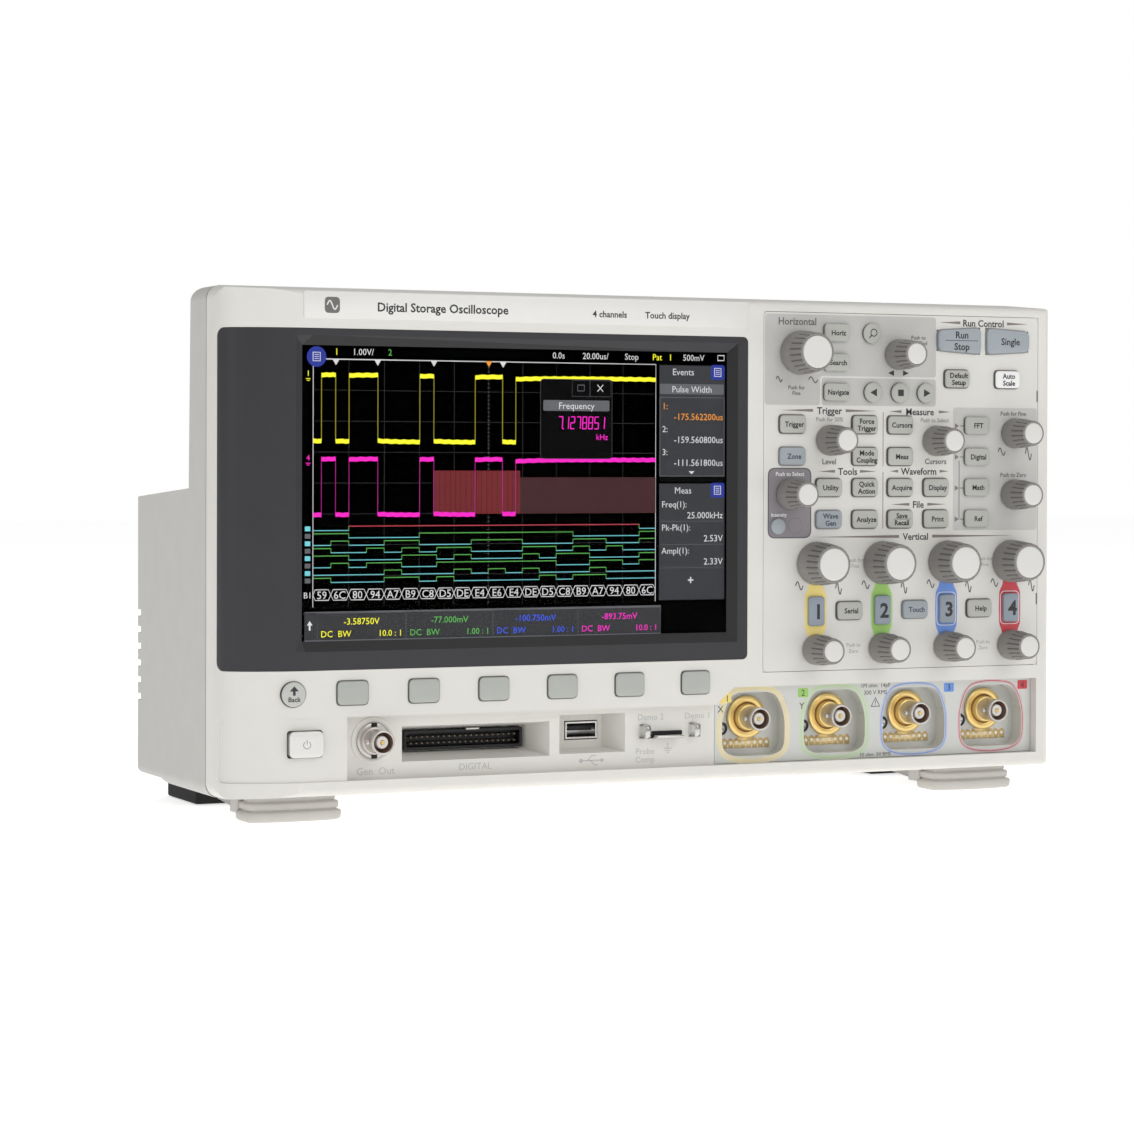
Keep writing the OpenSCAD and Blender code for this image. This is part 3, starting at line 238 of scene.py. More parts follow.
# Painted shade: rings round the keys for the shadow in their gaps.
INK_GAP_SHADE = ink("gap_ring_painted_shade", "field_plate", (128, 126, 122))
INK_POWER = ink("ink_power", "power_plastic", (150, 149, 148))
GOLD_HOLE = ink("pad_hole", "pocket_plastic", (250, 246, 232))
CHANNELS = (
    ink("channel_yellow", "pocket_plastic", (246, 224, 138)),
    ink("channel_green", "pocket_plastic", (162, 208, 112)),
    ink("channel_blue", "pocket_plastic", (112, 152, 226)),
    ink("channel_red", "pocket_plastic", (209, 74, 84)),
)
PALE_CHANNELS = (
    ink("pale_yellow", "pocket_plastic", (236, 220, 168)),
    ink("pale_green", "pocket_plastic", (196, 218, 176)),
    ink("pale_blue", "pocket_plastic", (124, 152, 222)),
    ink("pale_red", "pocket_plastic", (198, 82, 98)),
)
HALOS = (
    ink("halo_yellow", "pocket_plastic", (228, 220, 194)),
    ink("halo_green", "pocket_plastic", (206, 216, 196)),
    ink("halo_blue", "pocket_plastic", (190, 200, 222)),
    ink("halo_red", "pocket_plastic", (216, 190, 192)),
)
LIT_WHITE = lamp("lit_white", (225, 226, 228), 0.9)
LIT_GREY = lamp("lit_grey", (120, 122, 126), 0.6)
LIT_GRID = lamp("lit_grid", (44, 46, 50), 0.8)
LIT_PANEL = lamp("lit_panel", (52, 54, 58), 0.7)
LIT_HEADING = lamp("lit_heading", (104, 106, 110), 0.8)
LIT_YELLOW = lamp("lit_yellow", (250, 246, 30), 1.15)
LIT_MAGENTA = lamp("lit_magenta", (240, 10, 190), 1.1)
LIT_GREEN = lamp("lit_green", (96, 196, 84), 0.85)
LIT_CYAN = lamp("lit_cyan", (120, 222, 232), 0.9)
LIT_BLUE = lamp("lit_blue", (50, 90, 235), 1.0)
LIT_ICON = lamp("lit_icon", (22, 48, 160), 0.85)
LIT_ROW = lamp("lit_row", (48, 49, 52), 0.75)
LIT_YELLOW_EDGE = lamp("lit_yellow_edge", (168, 164, 20), 0.9)
LIT_MAGENTA_EDGE = lamp("lit_magenta_edge", (170, 8, 136), 0.9)
LIT_RED = lamp("lit_red", (122, 2, 14), 0.8)
LIT_DARK_RED = lamp("lit_dark_red", (62, 4, 10), 0.8)
LIT_ORANGE = lamp("lit_orange", (238, 150, 44), 1.0)
LIT_ROSE = lamp("lit_rose", (220, 70, 90), 0.9)


class Paintbox:
    """Makes each finish's material once and hands it out again."""

    def __init__(self) -> None:
        """Starts with no materials."""
        self._made: dict[str, bpy.types.Material] = {}

    def material(self, finish: Finish) -> bpy.types.Material:
        """The node material of a finish.

        Args:
            finish: the surface wanted.

        Returns:
            Its material, made on the first call.
        """
        if finish.name not in self._made:
            self._made[finish.name] = self._mix(finish)
        return self._made[finish.name]

    def _mix(self, finish: Finish) -> bpy.types.Material:
        """Builds colour drift, roughness drift and relief for one finish.

        Args:
            finish: the surface to make.

        Returns:
            The material.
        """
        paint = bpy.data.materials.new(finish.name)
        paint.use_nodes = True
        tree = paint.node_tree
        shader = tree.nodes["Principled BSDF"]
        place = tree.nodes.new("ShaderNodeTexCoord")
        spread = tree.nodes.new("ShaderNodeMapping")
        spread.inputs["Scale"].default_value = (1.0 / finish.brushed, 1.0, 1.0)
        tree.links.new(place.outputs["Object"], spread.inputs["Vector"])
        broad = self._noise(tree, spread, NOISE_SCALE, 3.0)
        fine = self._noise(tree, spread, 1.0 / (finish.grain_size * MM), 2.0)
        tone = tree.nodes.new("ShaderNodeMix")
        tone.data_type = "RGBA"
        tone.inputs["A"].default_value = finish.linear(1.0 - finish.mottle)
        tone.inputs["B"].default_value = finish.linear(1.0 + finish.mottle)
        tree.links.new(broad.outputs["Fac"], tone.inputs["Factor"])
        gloss = tree.nodes.new("ShaderNodeMapRange")
        gloss.inputs["To Min"].default_value = max(finish.roughness * 0.85, 0.02)
        gloss.inputs["To Max"].default_value = min(finish.roughness * 1.15, 1.0)
        tree.links.new(fine.outputs["Fac"], gloss.inputs["Value"])
        relief = tree.nodes.new("ShaderNodeBump")
        relief.inputs["Strength"].default_value = 0.5
        relief.inputs["Distance"].default_value = finish.grain * MM
        tree.links.new(fine.outputs["Fac"], relief.inputs["Height"])
        tree.links.new(gloss.outputs["Result"], shader.inputs["Roughness"])
        tree.links.new(relief.outputs["Normal"], shader.inputs["Normal"])
        shader.inputs["Metallic"].default_value = finish.metallic
        shader.inputs["Transmission Weight"].default_value = finish.clear
        shader.inputs["Coat Weight"].default_value = finish.coat
        shader.inputs["Coat Roughness"].default_value = LACQUER_GLOSS
        shader.inputs["IOR"].default_value = finish.bend
        if finish.glow > 0.0:
            shader.inputs["Base Color"].default_value = (0.004, 0.004, 0.005, 1.0)
            shader.inputs["Emission Strength"].default_value = finish.glow
            tree.links.new(tone.outputs["Result"], shader.inputs["Emission Color"])
        if finish.glow <= 0.0 or finish.body:
            tree.links.new(tone.outputs["Result"], shader.inputs["Base Color"])
        return paint

    @staticmethod
    def _noise(
        tree: bpy.types.NodeTree, spread: bpy.types.Node, scale: float, detail: float
    ) -> bpy.types.Node:
        """A noise node fed from the spread coordinates.

        Args:
            tree: the material's nodes.
            spread: the node that gives the coordinates.
            scale: how fine the noise is.
            detail: how many finer layers it has.

        Returns:
            The node.
        """
        noise = tree.nodes.new("ShaderNodeTexNoise")
        noise.inputs["Scale"].default_value = scale
        noise.inputs["Detail"].default_value = detail
        tree.links.new(spread.outputs["Vector"], noise.inputs["Vector"])
        return noise


# ---------------------------------------------------------------- shapes


def fillet(corners: Sequence[Pair], radius: float, steps: int = 5) -> list[Pair]:
    """Rounds every corner of a closed outline.

    Args:
        corners: the sharp corners in order.
        radius: how far from each corner its curve starts.
        steps: points along each curve.

    Returns:
        The rounded outline.
    """
    rounded: list[Pair] = []
    for index, corner in enumerate(corners):
        here = Vector(corner)
        before = Vector(corners[index - 1]) - here
        after = Vector(corners[(index + 1) % len(corners)]) - here
        start = here + before.normalized() * min(radius, before.length * 0.5)
        end = here + after.normalized() * min(radius, after.length * 0.5)
        for step in range(steps + 1):
            t = step / steps
            point = start * (1 - t) ** 2 + here * 2 * t * (1 - t) + end * t**2
            rounded.append((point.x, point.y))
    return rounded


def rectangle(width: float, height: float, radius: float, steps: int = 5) -> list[Pair]:
    """A rounded rectangle about the origin."""
    w, h = width / 2, height / 2
    return fillet([(w, -h), (w, h), (-w, h), (-w, -h)], radius * 1.25, steps)


def span_box(x0: float, z0: float, x1: float, z1: float) -> list[Pair]:
    """The four corners of an upright rectangle."""
    return [(x1, z0), (x1, z1), (x0, z1), (x0, z0)]


def circle(radius: float, count: int = 48, turn: float = 0.0) -> list[Pair]:
    """Points on a circle about the origin."""
    angles = (turn + 2 * math.pi * i / count for i in range(count))
    return [(radius * math.cos(a), radius * math.sin(a)) for a in angles]


def wave(width: float, height: float, count: int = 18) -> list[Pair]:
    """One period of a sine about the origin.

    Args:
        width: how wide it is.
        height: how high it is.
        count: how many steps it has.

    Returns:
        Its points in order.
    """
    return [
        (width * (i / count - 0.5), height * 0.5 * math.sin(2 * math.pi * i / count))
        for i in range(count + 1)
    ]


@dataclass
class Plan:
    """Turns millimetres on the front into places in the shared frame.

    Attributes:
        nodes: the engineering nodes by name.
        paint: the paintbox.
    """

    nodes: dict[str, bpy.types.Object]
    paint: Paintbox
    front: float = field(init=False)
    count: int = field(init=False, default=0)

    def __post_init__(self) -> None:
        """Finds the flat front in the frame."""
        self.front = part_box("front_bezel")[0].y

    def at(self, x: float, depth: float, z: float) -> Vector:
        """A point given in millimetres from the flat front."""
        return Vector((x * MM, self.front + depth * MM, z * MM))

    def depth(self, metres: float) -> float:
        """How far behind the flat front a place in the frame lies, in millimetres."""
        return (metres - self.front) / MM

    def solids(self, node: str) -> list[tuple[Vector, Vector]]:
        """The corners of each separate solid of a node.

        Args:
            node: the engineering node.

        Returns:
            Lowest and highest corners in metres, from left to right and then upwards.
        """
        shape = bmesh.new()
        shape.from_mesh(self.nodes[node].data)
        bmesh.ops.remove_doubles(shape, verts=shape.verts, dist=1e-6)
        unseen = set(shape.verts)
        found: list[tuple[Vector, Vector]] = []
        while unseen:
            queue = [unseen.pop()]
            points: list[Vector] = []
            while queue:
                vertex = queue.pop()
                points.append(vertex.co.copy())
                for edge in vertex.link_edges:
                    other = edge.other_vert(vertex)
                    if other in unseen:
                        unseen.remove(other)
                        queue.append(other)
            low = Vector(map(min, zip(*points)))
            high = Vector(map(max, zip(*points)))
            found.append((low, high))
        shape.free()
        return sorted(found, key=lambda pair: (round(pair[0].x, 4), pair[0].z))

    def centres(self, node: str) -> list[tuple[float, float]]:
        """The middle of each solid of a node as x and z in millimetres."""
        return [((a.x + b.x) / 2 / MM, (a.z + b.z) / 2 / MM) for a, b in self.solids(node)]

    def finish_piece(
        self,
        shape: bmesh.types.BMesh,
        name: str,
        finishes: Sequence[Finish],
        body: str,
        stands_for: Sequence[str] = (),
        crease: float = 32.0,
    ) -> bpy.types.Object:
        """Turns a shape into a painted piece that rides on its body.

        Args:
            shape: the finished geometry, freed here.
            name: the piece's name.
            finishes: a finish for each material index.
            body: the body that carries it.
            stands_for: engineering nodes that it replaces.
            crease: edges sharper than this many degrees stay sharp.

        Returns:
            The piece.
        """
        limit = math.radians(crease)
        for edge in shape.edges:
            edge.smooth = len(edge.link_faces) == 2 and edge.calc_face_angle(0.0) < limit
        for face in shape.faces:
            face.smooth = True
        mesh = bpy.data.meshes.new(name)
        shape.to_mesh(mesh)
        shape.free()
        for finish in finishes:
            mesh.materials.append(self.paint.material(finish))
        piece = bpy.data.objects.new(name, mesh)
        bpy.context.scene.collection.objects.link(piece)
        if stands_for:
            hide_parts(*stands_for)
        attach(piece, body)
        self.count += 1
        LOG.info("%s: %d faces on %s", name, len(mesh.polygons), body)
        return piece

    def shell(
        self, node: str, finishes: Sequence[Finish], body: str, edge: float, steps: int = 2,
        pick: Optional[Callable[[bmesh.types.BMFace], int]] = None,
    ) -> bpy.types.Object:
        """A moulding taken from an engineering node, cleaned, eased and painted.

        Args:
            node: the node whose form it takes.
            finishes: a finish for each material index.
            body: the body that carries it.
            edge: radius of the eased edges in millimetres.
            steps: segments across each eased edge.
            pick: chooses the material index of a face.

        Returns:
            The moulding.
        """
        shape = bmesh.new()
        shape.from_mesh(self.nodes[node].data)
        bmesh.ops.remove_doubles(shape, verts=shape.verts, dist=2e-6)
        if pick is not None:
            for face in shape.faces:
                face.material_index = pick(face)
        piece = self.finish_piece(shape, f"{node}_skin", finishes, body, (node,))
        if edge > 0.0:
            ease = piece.modifiers.new("eased_edges", "BEVEL")
            ease.width = edge * MM
            ease.segments = steps
            ease.limit_method = "ANGLE"
            ease.angle_limit = math.radians(38)
            ease.use_clamp_overlap = True
            ease.miter_outer = "MITER_ARC"
            even = piece.modifiers.new("even_normals", "WEIGHTED_NORMAL")
            even.keep_sharp = True
        return piece


def stack(
    shape: bmesh.types.BMesh,
    loops: Sequence[Loop],
    tones: Tones = (),
    start: bool = False,
    end: bool = True,
    closed: bool = True,
) -> None:
    """Skins a row of loops, each with the same number of points.

    Args:
        shape: receives the faces.
        loops: the rings in order.
        tones: material index of each band, then of the end cap, or a rule for band and point.
        start: close the first ring with a face.
        end: close the last ring with a face.
        closed: join the last point of each ring to its first.
    """
    tone_of = tones if callable(tones) else (lambda band, _: tones[band] if band < len(tones) else 0)
    rings = [[shape.verts.new(point) for point in loop] for loop in loops]
    size = len(rings[0])
    for band, (near, far) in enumerate(zip(rings, rings[1:])):
        for i in range(size if closed else size - 1):
            j = (i + 1) % size
            face = shape.faces.new((near[i], near[j], far[j], far[i]))
            face.material_index = tone_of(band, i)
    if start:
        face = shape.faces.new(list(reversed(rings[0])))
        face.material_index = tone_of(0, 0)
    if end:
        face = shape.faces.new(rings[-1])
        face.material_index = tone_of(len(rings) - 1, 0)


def pad(
    shape: bmesh.types.BMesh,
    plan: Plan,
    centre: Pair,
    outline: Sequence[Pair],
    profile: Sequence[Pair],
    tones: Sequence[int] = (),
) -> None:
    """A key-like pad: an outline stepped inwards through a profile, facing the front.

    Args:
        shape: receives the faces.
        plan: places the points.
        centre: x and z of the middle.
        outline: the full outline about the origin.
        profile: depth and inset of each ring, from the rear to the front.
        tones: material index of each band and of the face.
    """
    half_w = max(abs(p[0]) for p in outline)
    half_h = max(abs(p[1]) for p in outline)
    loops: list[Loop] = []
    for depth, inset in profile:
        kx, kz = max(1 - inset / half_w, 0.02), max(1 - inset / half_h, 0.02)
        loops.append([plan.at(centre[0] + x * kx, depth, centre[1] + z * kz) for x, z in outline])
    stack(shape, loops, tones)


def lathe(
    shape: bmesh.types.BMesh,
    plan: Plan,
    centre: Pair,
    profile: Sequence[Pair],
    count: int = 48,
    tones: Tones = (),
    ripple: Optional[Callable[[int, float], float]] = None,
    end: bool = True,
) -> None:
    """Turns a profile about an axis through the front.

    Args:
        shape: receives the faces.
        plan: places the points.
        centre: x and z of the axis.
        profile: depth and radius of each ring, from the rear to the front.
        count: points around.
        tones: material index of each band and of the end face.
        ripple: change of radius at a point number and depth.
        end: close the last ring.
    """
    loops: list[Loop] = []
    for depth, radius in profile:
        loop: Loop = []
        for i in range(count):
            angle = 2 * math.pi * i / count
            r = radius + (ripple(i, depth) if ripple else 0.0)
            loop.append(plan.at(centre[0] + r * math.cos(angle), depth, centre[1] + r * math.sin(angle)))
        loops.append(loop)
    stack(shape, loops, tones, end=end)


def block(
    shape: bmesh.types.BMesh, plan: Plan, low: Triple, high: Triple, ease: float = 0.15, tone: int = 0
) -> None:
    """A small block with eased edges, from its corners in x, depth and z.

    Args:
        shape: receives the faces.
        plan: places the points.
        low: the corner with the least x, depth and z.
        high: the opposite corner.
        ease: how far its edges are cut back.
        tone: its material index.
    """
    centre = ((low[0] + high[0]) / 2, (low[2] + high[2]) / 2)
    outline = rectangle(high[0] - low[0], high[2] - low[2], ease, 2)
    profile = [(high[1], ease), (high[1] - ease, 0), (low[1] + ease, 0), (low[1], ease)]
    half_w = (high[0] - low[0]) / 2
    half_h = (high[2] - low[2]) / 2
    loops = [
        [plan.at(centre[0] + x * (1 - i / half_w), d, centre[1] + z * (1 - i / half_h)) for x, z in outline]
        for d, i in profile
    ]
    stack(shape, loops, [tone] * 4, start=True)


class Ink:
    """Flat printed or lit art laid on a face, gathered by finish."""

    def __init__(self, plan: Plan, depth: float, way: float = 1.0) -> None:
        """Starts an empty layer.

        Args:
            plan: places the points.
            depth: where the layer lies, in millimetres behind the flat front.
            way: 1 when it is read from the front, -1 when it is read from behind.
        """
        self.plan = plan
        self.depth = depth
        self.way = way
        self._art: dict[Finish, bmesh.types.BMesh] = {}

    def _sheet(self, finish: Finish) -> bmesh.types.BMesh:
        """The mesh that gathers one finish.

        Args:
            finish: the finish of the print.

        Returns:
            The mesh.
        """
        if finish not in self._art:
            self._art[finish] = bmesh.new()
        return self._art[finish]

    def area(self, outline: Sequence[Pair], finish: Finish, lift: float = 0.0) -> None:
        """Fills a closed outline.

        Args:
            outline: its corners in order.
            finish: the finish of the print.
            lift: how far it lies above the layer.
        """
        sheet = self._sheet(finish)
        points = [self.plan.at(x, self.depth - self.way * lift, z) for x, z in outline]
        sheet.faces.new([sheet.verts.new(point) for point in points])

    def band(
        self, points: Sequence[Pair], width: float, finish: Finish, closed: bool = False, lift: float = 0.0
    ) -> None:
        """Draws a line of constant width through points, leaving out any that repeat.

        Args:
            points: the line's points in x and z.
            width: its width.
            finish: its colour.
            closed: whether it returns to its first point.
            lift: how far it lies above the layer.
        """
        sheet = self._sheet(finish)
        points = [p for i, p in enumerate(points) if i == 0 or math.dist(p, points[i - 1]) > REPEAT]
        if closed and math.dist(points[0], points[-1]) <= REPEAT:
            points.pop()
        count = len(points)
        left: list[bmesh.types.BMVert] = []
        right: list[bmesh.types.BMVert] = []
        for i, point in enumerate(points):
            before = Vector(points[i - 1] if closed or i > 0 else point)
            after = Vector(points[(i + 1) % count] if closed or i < count - 1 else point)
            run = (after - before).normalized()
            into = (Vector(point) - before).normalized() if before != Vector(point) else run
            side = Vector((-run.y, run.x)) * (width / 2) / max(abs(run.dot(into)), 0.5)
            here = Vector(point)
            left.append(sheet.verts.new(self.plan.at(*self._flat(here + side, lift))))
            right.append(sheet.verts.new(self.plan.at(*self._flat(here - side, lift))))
        for i in range(count if closed else count - 1):
            j = (i + 1) % count
            sheet.faces.new((left[i], right[i], right[j], left[j]))

    def _flat(self, point: Vector, lift: float) -> Triple:
        """A point of the layer as x, depth and z."""
        return (point.x, self.depth - self.way * lift, point.y)

    def taper(self, x0: float, x1: float, z: float, finish: Finish, height: float = 0.55) -> None:
        """A caption rule, full at x0 and running out to nothing at x1."""
        self.area(self._facing([(x0, z - height / 2), (x0, z + height / 2), (x1, z)]), finish)

    @staticmethod
    def _facing(corners: list[Pair]) -> list[Pair]:
        """The corners in the order that faces the front.

        Args:
            corners: the corners in either order.

        Returns:
            The corners in the order that faces the front.
        """
        total = sum(
            a[0] * b[1] - b[0] * a[1] for a, b in zip(corners, corners[1:] + corners[:1])
        )
        return corners if total > 0 else list(reversed(corners))

    def word(
        self, text: str, x: float, z: float, size: float, finish: Finish,
        align: Align = Align.CENTRE, squeeze: float = 1.0, heavy: float = 0.0, lift: float = 0.0,
        fit: float = 0.0,
    ) -> None:
        """Sets a word.

        Args:
            text: the letters.
            x: where it is aligned.
            z: the middle of its capitals.
            size: letter size in millimetres.
            finish: its colour.
            align: side that x is on.
            squeeze: width of the letters against the standard.
            heavy: how far the strokes are thickened, in parts of the size.
            lift: how far it stands proud of the layer.
            fit: the widest that the word may be in millimetres, or 0 for no limit.
        """
        curve = bpy.data.curves.new("word", "FONT")
        curve.body = text
        curve.size = size
        curve.align_x = align.value
        curve.resolution_u = 2
        curve.offset = heavy * size
        setter = bpy.data.objects.new("word", curve)
        bpy.context.scene.collection.objects.link(setter)
        graph = bpy.context.evaluated_depsgraph_get()
        letters = setter.evaluated_get(graph).to_mesh()
        sheet = self._sheet(finish)
        base = z - size * 0.36
        across = [v.co.x for v in letters.vertices]
        if fit > 0.0:
            squeeze = min(squeeze, fit / (max(across) - min(across)))
        depth = self.depth - self.way * lift
        verts = [
            sheet.verts.new(self.plan.at(x + self.way * v.co.x * squeeze, depth, base + v.co.y))
            for v in letters.vertices
        ]
        for polygon in letters.polygons:
            sheet.faces.new([verts[i] for i in polygon.vertices])
        setter.evaluated_get(graph).to_mesh_clear()
        bpy.data.objects.remove(setter)
        bpy.data.curves.remove(curve)

    def lay(self, name: str, body: str = CABINET) -> None:
        """Turns the gathered art into one piece per finish.

        Args:
            name: first part of each piece's name.
            body: the body that carries them.
        """
        for finish, sheet in self._art.items():
            for face in sheet.faces:
                face.normal_update()
                if face.normal.y * self.way > 0:
                    face.normal_flip()
            self.plan.finish_piece(sheet, f"{name}_{finish.name}", [finish], body)
        self._art = {}


# ---------------------------------------------------------------- housing


@dataclass
class Housing:
    """Front moulding, rear cabinet and the label strip above the display."""

    plan: Plan
    strip_centre: Pair = (-59.7, 205.5)
    strip_size: Pair = (198.4, 10.9)
    strip_rise: float = 0.3

    def build(self) -> None:
        """Makes the mouldings and the label strip."""
        self.plan.shell("front_bezel", [BEZEL], CABINET, 0.4, 3)
        self.plan.shell("rear_cabinet", [CASE], CABINET, 0.5, 2)
        self._seam_shade()
        self._label_strip()

    def _seam_shade(self) -> None:
        """Paints shade into the thin gap between the front moulding and the cabinet: a dark band for the
        seam's shadow.
        """
        low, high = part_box("front_bezel")
        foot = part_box("rear_cabinet")[0].z / MM + 0.4
        depth = self.plan.depth(high.y)
        width, height = (high.x - low.x) / MM + 0.08, high.z / MM - foot + 0.08
        outline = rectangle(width, height, 6.0 / 1.25, 8)
        middle = (foot + high.z / MM) / 2
        shape = bmesh.new()
        loops = [[self.plan.at(x, d, middle + z) for x, z in outline] for d in (depth + 0.35, depth - 0.05)]
        stack(shape, loops, end=False)
        self.plan.finish_piece(shape, "seam_painted_shade", [SEAM_SHADE], CABINET)

    def _label_strip(self) -> None:
        """Lays the thin plate and its plain wording."""
        shape = bmesh.new()
        rise = self.strip_rise
        outline = rectangle(*self.strip_size, 0.8)
        pad(shape, self.plan, self.strip_centre, outline, [(0.6, 0), (-rise + 0.1, 0), (-rise, 0.12)])
        self.plan.finish_piece(shape, "label_strip", [STRIP], CABINET)
        words = Ink(self.plan, -rise - 0.02)
        z = self.strip_centre[1] - 0.3
        for text, x, drop, size, fit in (
            ("Digital Storage Oscilloscope", -128.0, 0.0, 5.0, 67.0), ("4 channels", -33.0, 0.7, 3.7, 0.0),
            ("Touch display", -9.0, 0.7, 3.7, 0.0),
        ):
            words.word(text, x, z - drop, size, INK_DARK, Align.LEFT, heavy=0.022, fit=fit)
        mark = rectangle(6.4, 6.4, 1.4)
        cx = -147.0
        words.area([(cx + x, z + 0.3 + y) for x, y in mark], INK_MID)
        trace = [(cx + x, z + 0.3 + y) for x, y in wave(4.4, 3.4)]
        words.band(trace, 0.55, STRIP, lift=0.02)
        words.lay("strip_print")


# ---------------------------------------------------------------- display


@dataclass
class DisplayUnit:
    """Dark surround, touch glass, display module and the picture that it shows."""

    plan: Plan
    frame: tuple[float, float, float, float] = (-153.5, 85.6, -2.0, 184.2)
    columns: int = 10
    rows: int = 8
    edges: tuple[float, ...] = (-150.0, -144.0, -138.3, -126.0, -107.9, -101.8, -83.7, -71.6, -65.7)
    cells: tuple[str, ...] = (
        "59", "6C", "80", "94", "A7", "B9", "C8", "D5", "DE", "E4",
        "E6", "E4", "DE", "D5", "C8", "B9", "A7", "94", "80", "6C",
    )

    def build(self) -> None:
        """Makes the surround, glass and module, then draws the picture."""
        self.plan.shell("display_surround", [SURROUND, BEVEL], CABINET, 0.25, 2, self._surround_tone)
        self.plan.shell("touch_glass", [GLASS], CABINET, 0.15, 1)
        self.plan.shell("lcd_panel", [FRAME_TIN, PANEL_BLACK], CABINET, 0.0, 1, self._module_tone)
        art = Ink(self.plan, self.plan.depth(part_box("lcd_panel")[0].y) - 0.02)
        self._graticule(art)
        self._traces(art)
        self._digital(art)
        self._status(art)
        self._side_panel(art)
        self._readout(art)
        self._channel_row(art)
        art.lay("picture")

    def _surround_tone(self, face: bmesh.types.BMFace) -> int:
        """The inner bevel gets painted shade: a darker copy of the surround finish for the recess round the
        glass.

        Args:
            face: the face to judge.

        Returns:
            The material index.
        """
        middle = face.calc_center_median()
        inside = -0.1588 < middle.x < 0.0347 and 0.069 < middle.z < 0.1916
        return 1 if inside and abs(face.normal.y) < 0.98 else 0

    def _module_tone(self, face: bmesh.types.BMFace) -> int:
        """The lit side of the module is black, its back is tin."""
        return 1 if face.normal.y < -0.9 else 0

    def _graticule(self, art: Ink) -> None:
        """Draws the grid and its white frame.

        Args:
            art: the layer that takes the print.
        """
        x0, z0, x1, z1 = self.frame
        for i in range(1, self.columns):
            x = x0 + (x1 - x0) * i / self.columns
            art.band([(x, z0), (x, z1)], 0.16, LIT_GRID)
        for i in range(1, self.rows):
            z = z0 + (z1 - z0) * i / self.rows
            art.band([(x0, z), (x1, z)], 0.16, LIT_GRID)
        middle = (x0 + x1) / 2
        for i in range(60):
            z = z0 + (z1 - z0) * (i + 0.5) / 60
            art.band([(middle - 0.5, z), (middle + 0.5, z)], 0.16, LIT_GREY, lift=0.005)
        art.band([(x0, z0), (x0, z1), (x1, z1), (x1, z0)], 0.28, LIT_WHITE, lift=0.01)
        for x in (-143.9, -126.1, -101.8, -71.4):
            art.area([(x - 1.6, z1 + 0.2), (x, z1 - 2.4), (x + 1.6, z1 + 0.2)], LIT_WHITE, 0.05)
        art.area([(-79.2, z1 + 0.2), (-77.7, z1 - 2.2), (-76.2, z1 + 0.2)], LIT_ORANGE, 0.05)

    def _pulse(self, art: Ink, high: float, low: float, glow: Finish, faint: Finish) -> None:
        """Draws one pulse train with a noisy band on each level.

        Args:
            art: the layer that takes the print.
            high: height of the upper level.
            low: height of the lower level.
            glow: colour of the trace.
            faint: colour of its noisy edge.
        """
        level, x = low, self.frame[0]
        thick = 1.75
        for index, edge in enumerate(list(self.edges) + [self.frame[2]]):
            steps = max(int((edge - x) / 0.55), 2)
            top: list[Pair] = []
            bottom: list[Pair] = []
            settle = 0.7 * min((edge - x) / 30.0, 1.0) * (1 if level == low else -1)
            for i in range(steps + 1):
                t = i / steps
                px = x + (edge - x) * t
                drift = settle * (math.exp(-3.0 * t) - 0.5) if index < 9 else -0.7 * math.exp(-5.0 * t)
                jitter = 0.22 * math.sin(px * 9.1) * math.sin(px * 3.7 + level)
                top.append((px, level + drift + thick / 2 + jitter))
                bottom.append((px, level + drift - thick / 2 + 0.8 * jitter))
            for i in range(steps):
                art.area([bottom[i], bottom[i + 1], top[i + 1], top[i]], glow, 0.03)
            other = high if level == low else low
            if index < len(self.edges):
                art.band([(edge, level), (edge, other)], 0.26, faint, lift=0.025)
            level, x = other, edge

    def _traces(self, art: Ink) -> None:
        """Draws the analogue traces and the tolerance field behind them.

        Args:
            art: the layer that takes the print.
        """
        art.area(span_box(-102.0, 122.4, -63.7, 139.9), LIT_RED, 0.012)
        art.area(span_box(-63.7, 122.4, self.frame[2], 137.2), LIT_DARK_RED, 0.012)
        for i in range(17):
            x = -101.5 + i * 2.3
            art.band([(x, 122.6), (x, 139.6)], 0.3, LIT_DARK_RED, lift=0.014)
        self._pulse(art, 177.9, 151.6, LIT_YELLOW, LIT_YELLOW_EDGE)
        self._pulse(art, 144.4, 122.3, LIT_MAGENTA, LIT_MAGENTA_EDGE)
        for z, glow, mark in ((177.9, LIT_YELLOW, "1"), (144.4, LIT_MAGENTA, "4")):
            art.word(mark, -155.6, z + 0.6, 3.2, glow, lift=0.03)
            art.band([(-156.6, z - 1.6), (-154.6, z - 1.6)], 0.3, glow, lift=0.03)
            art.band([(-156.2, z - 2.3), (-155.0, z - 2.3)], 0.3, glow, lift=0.03)

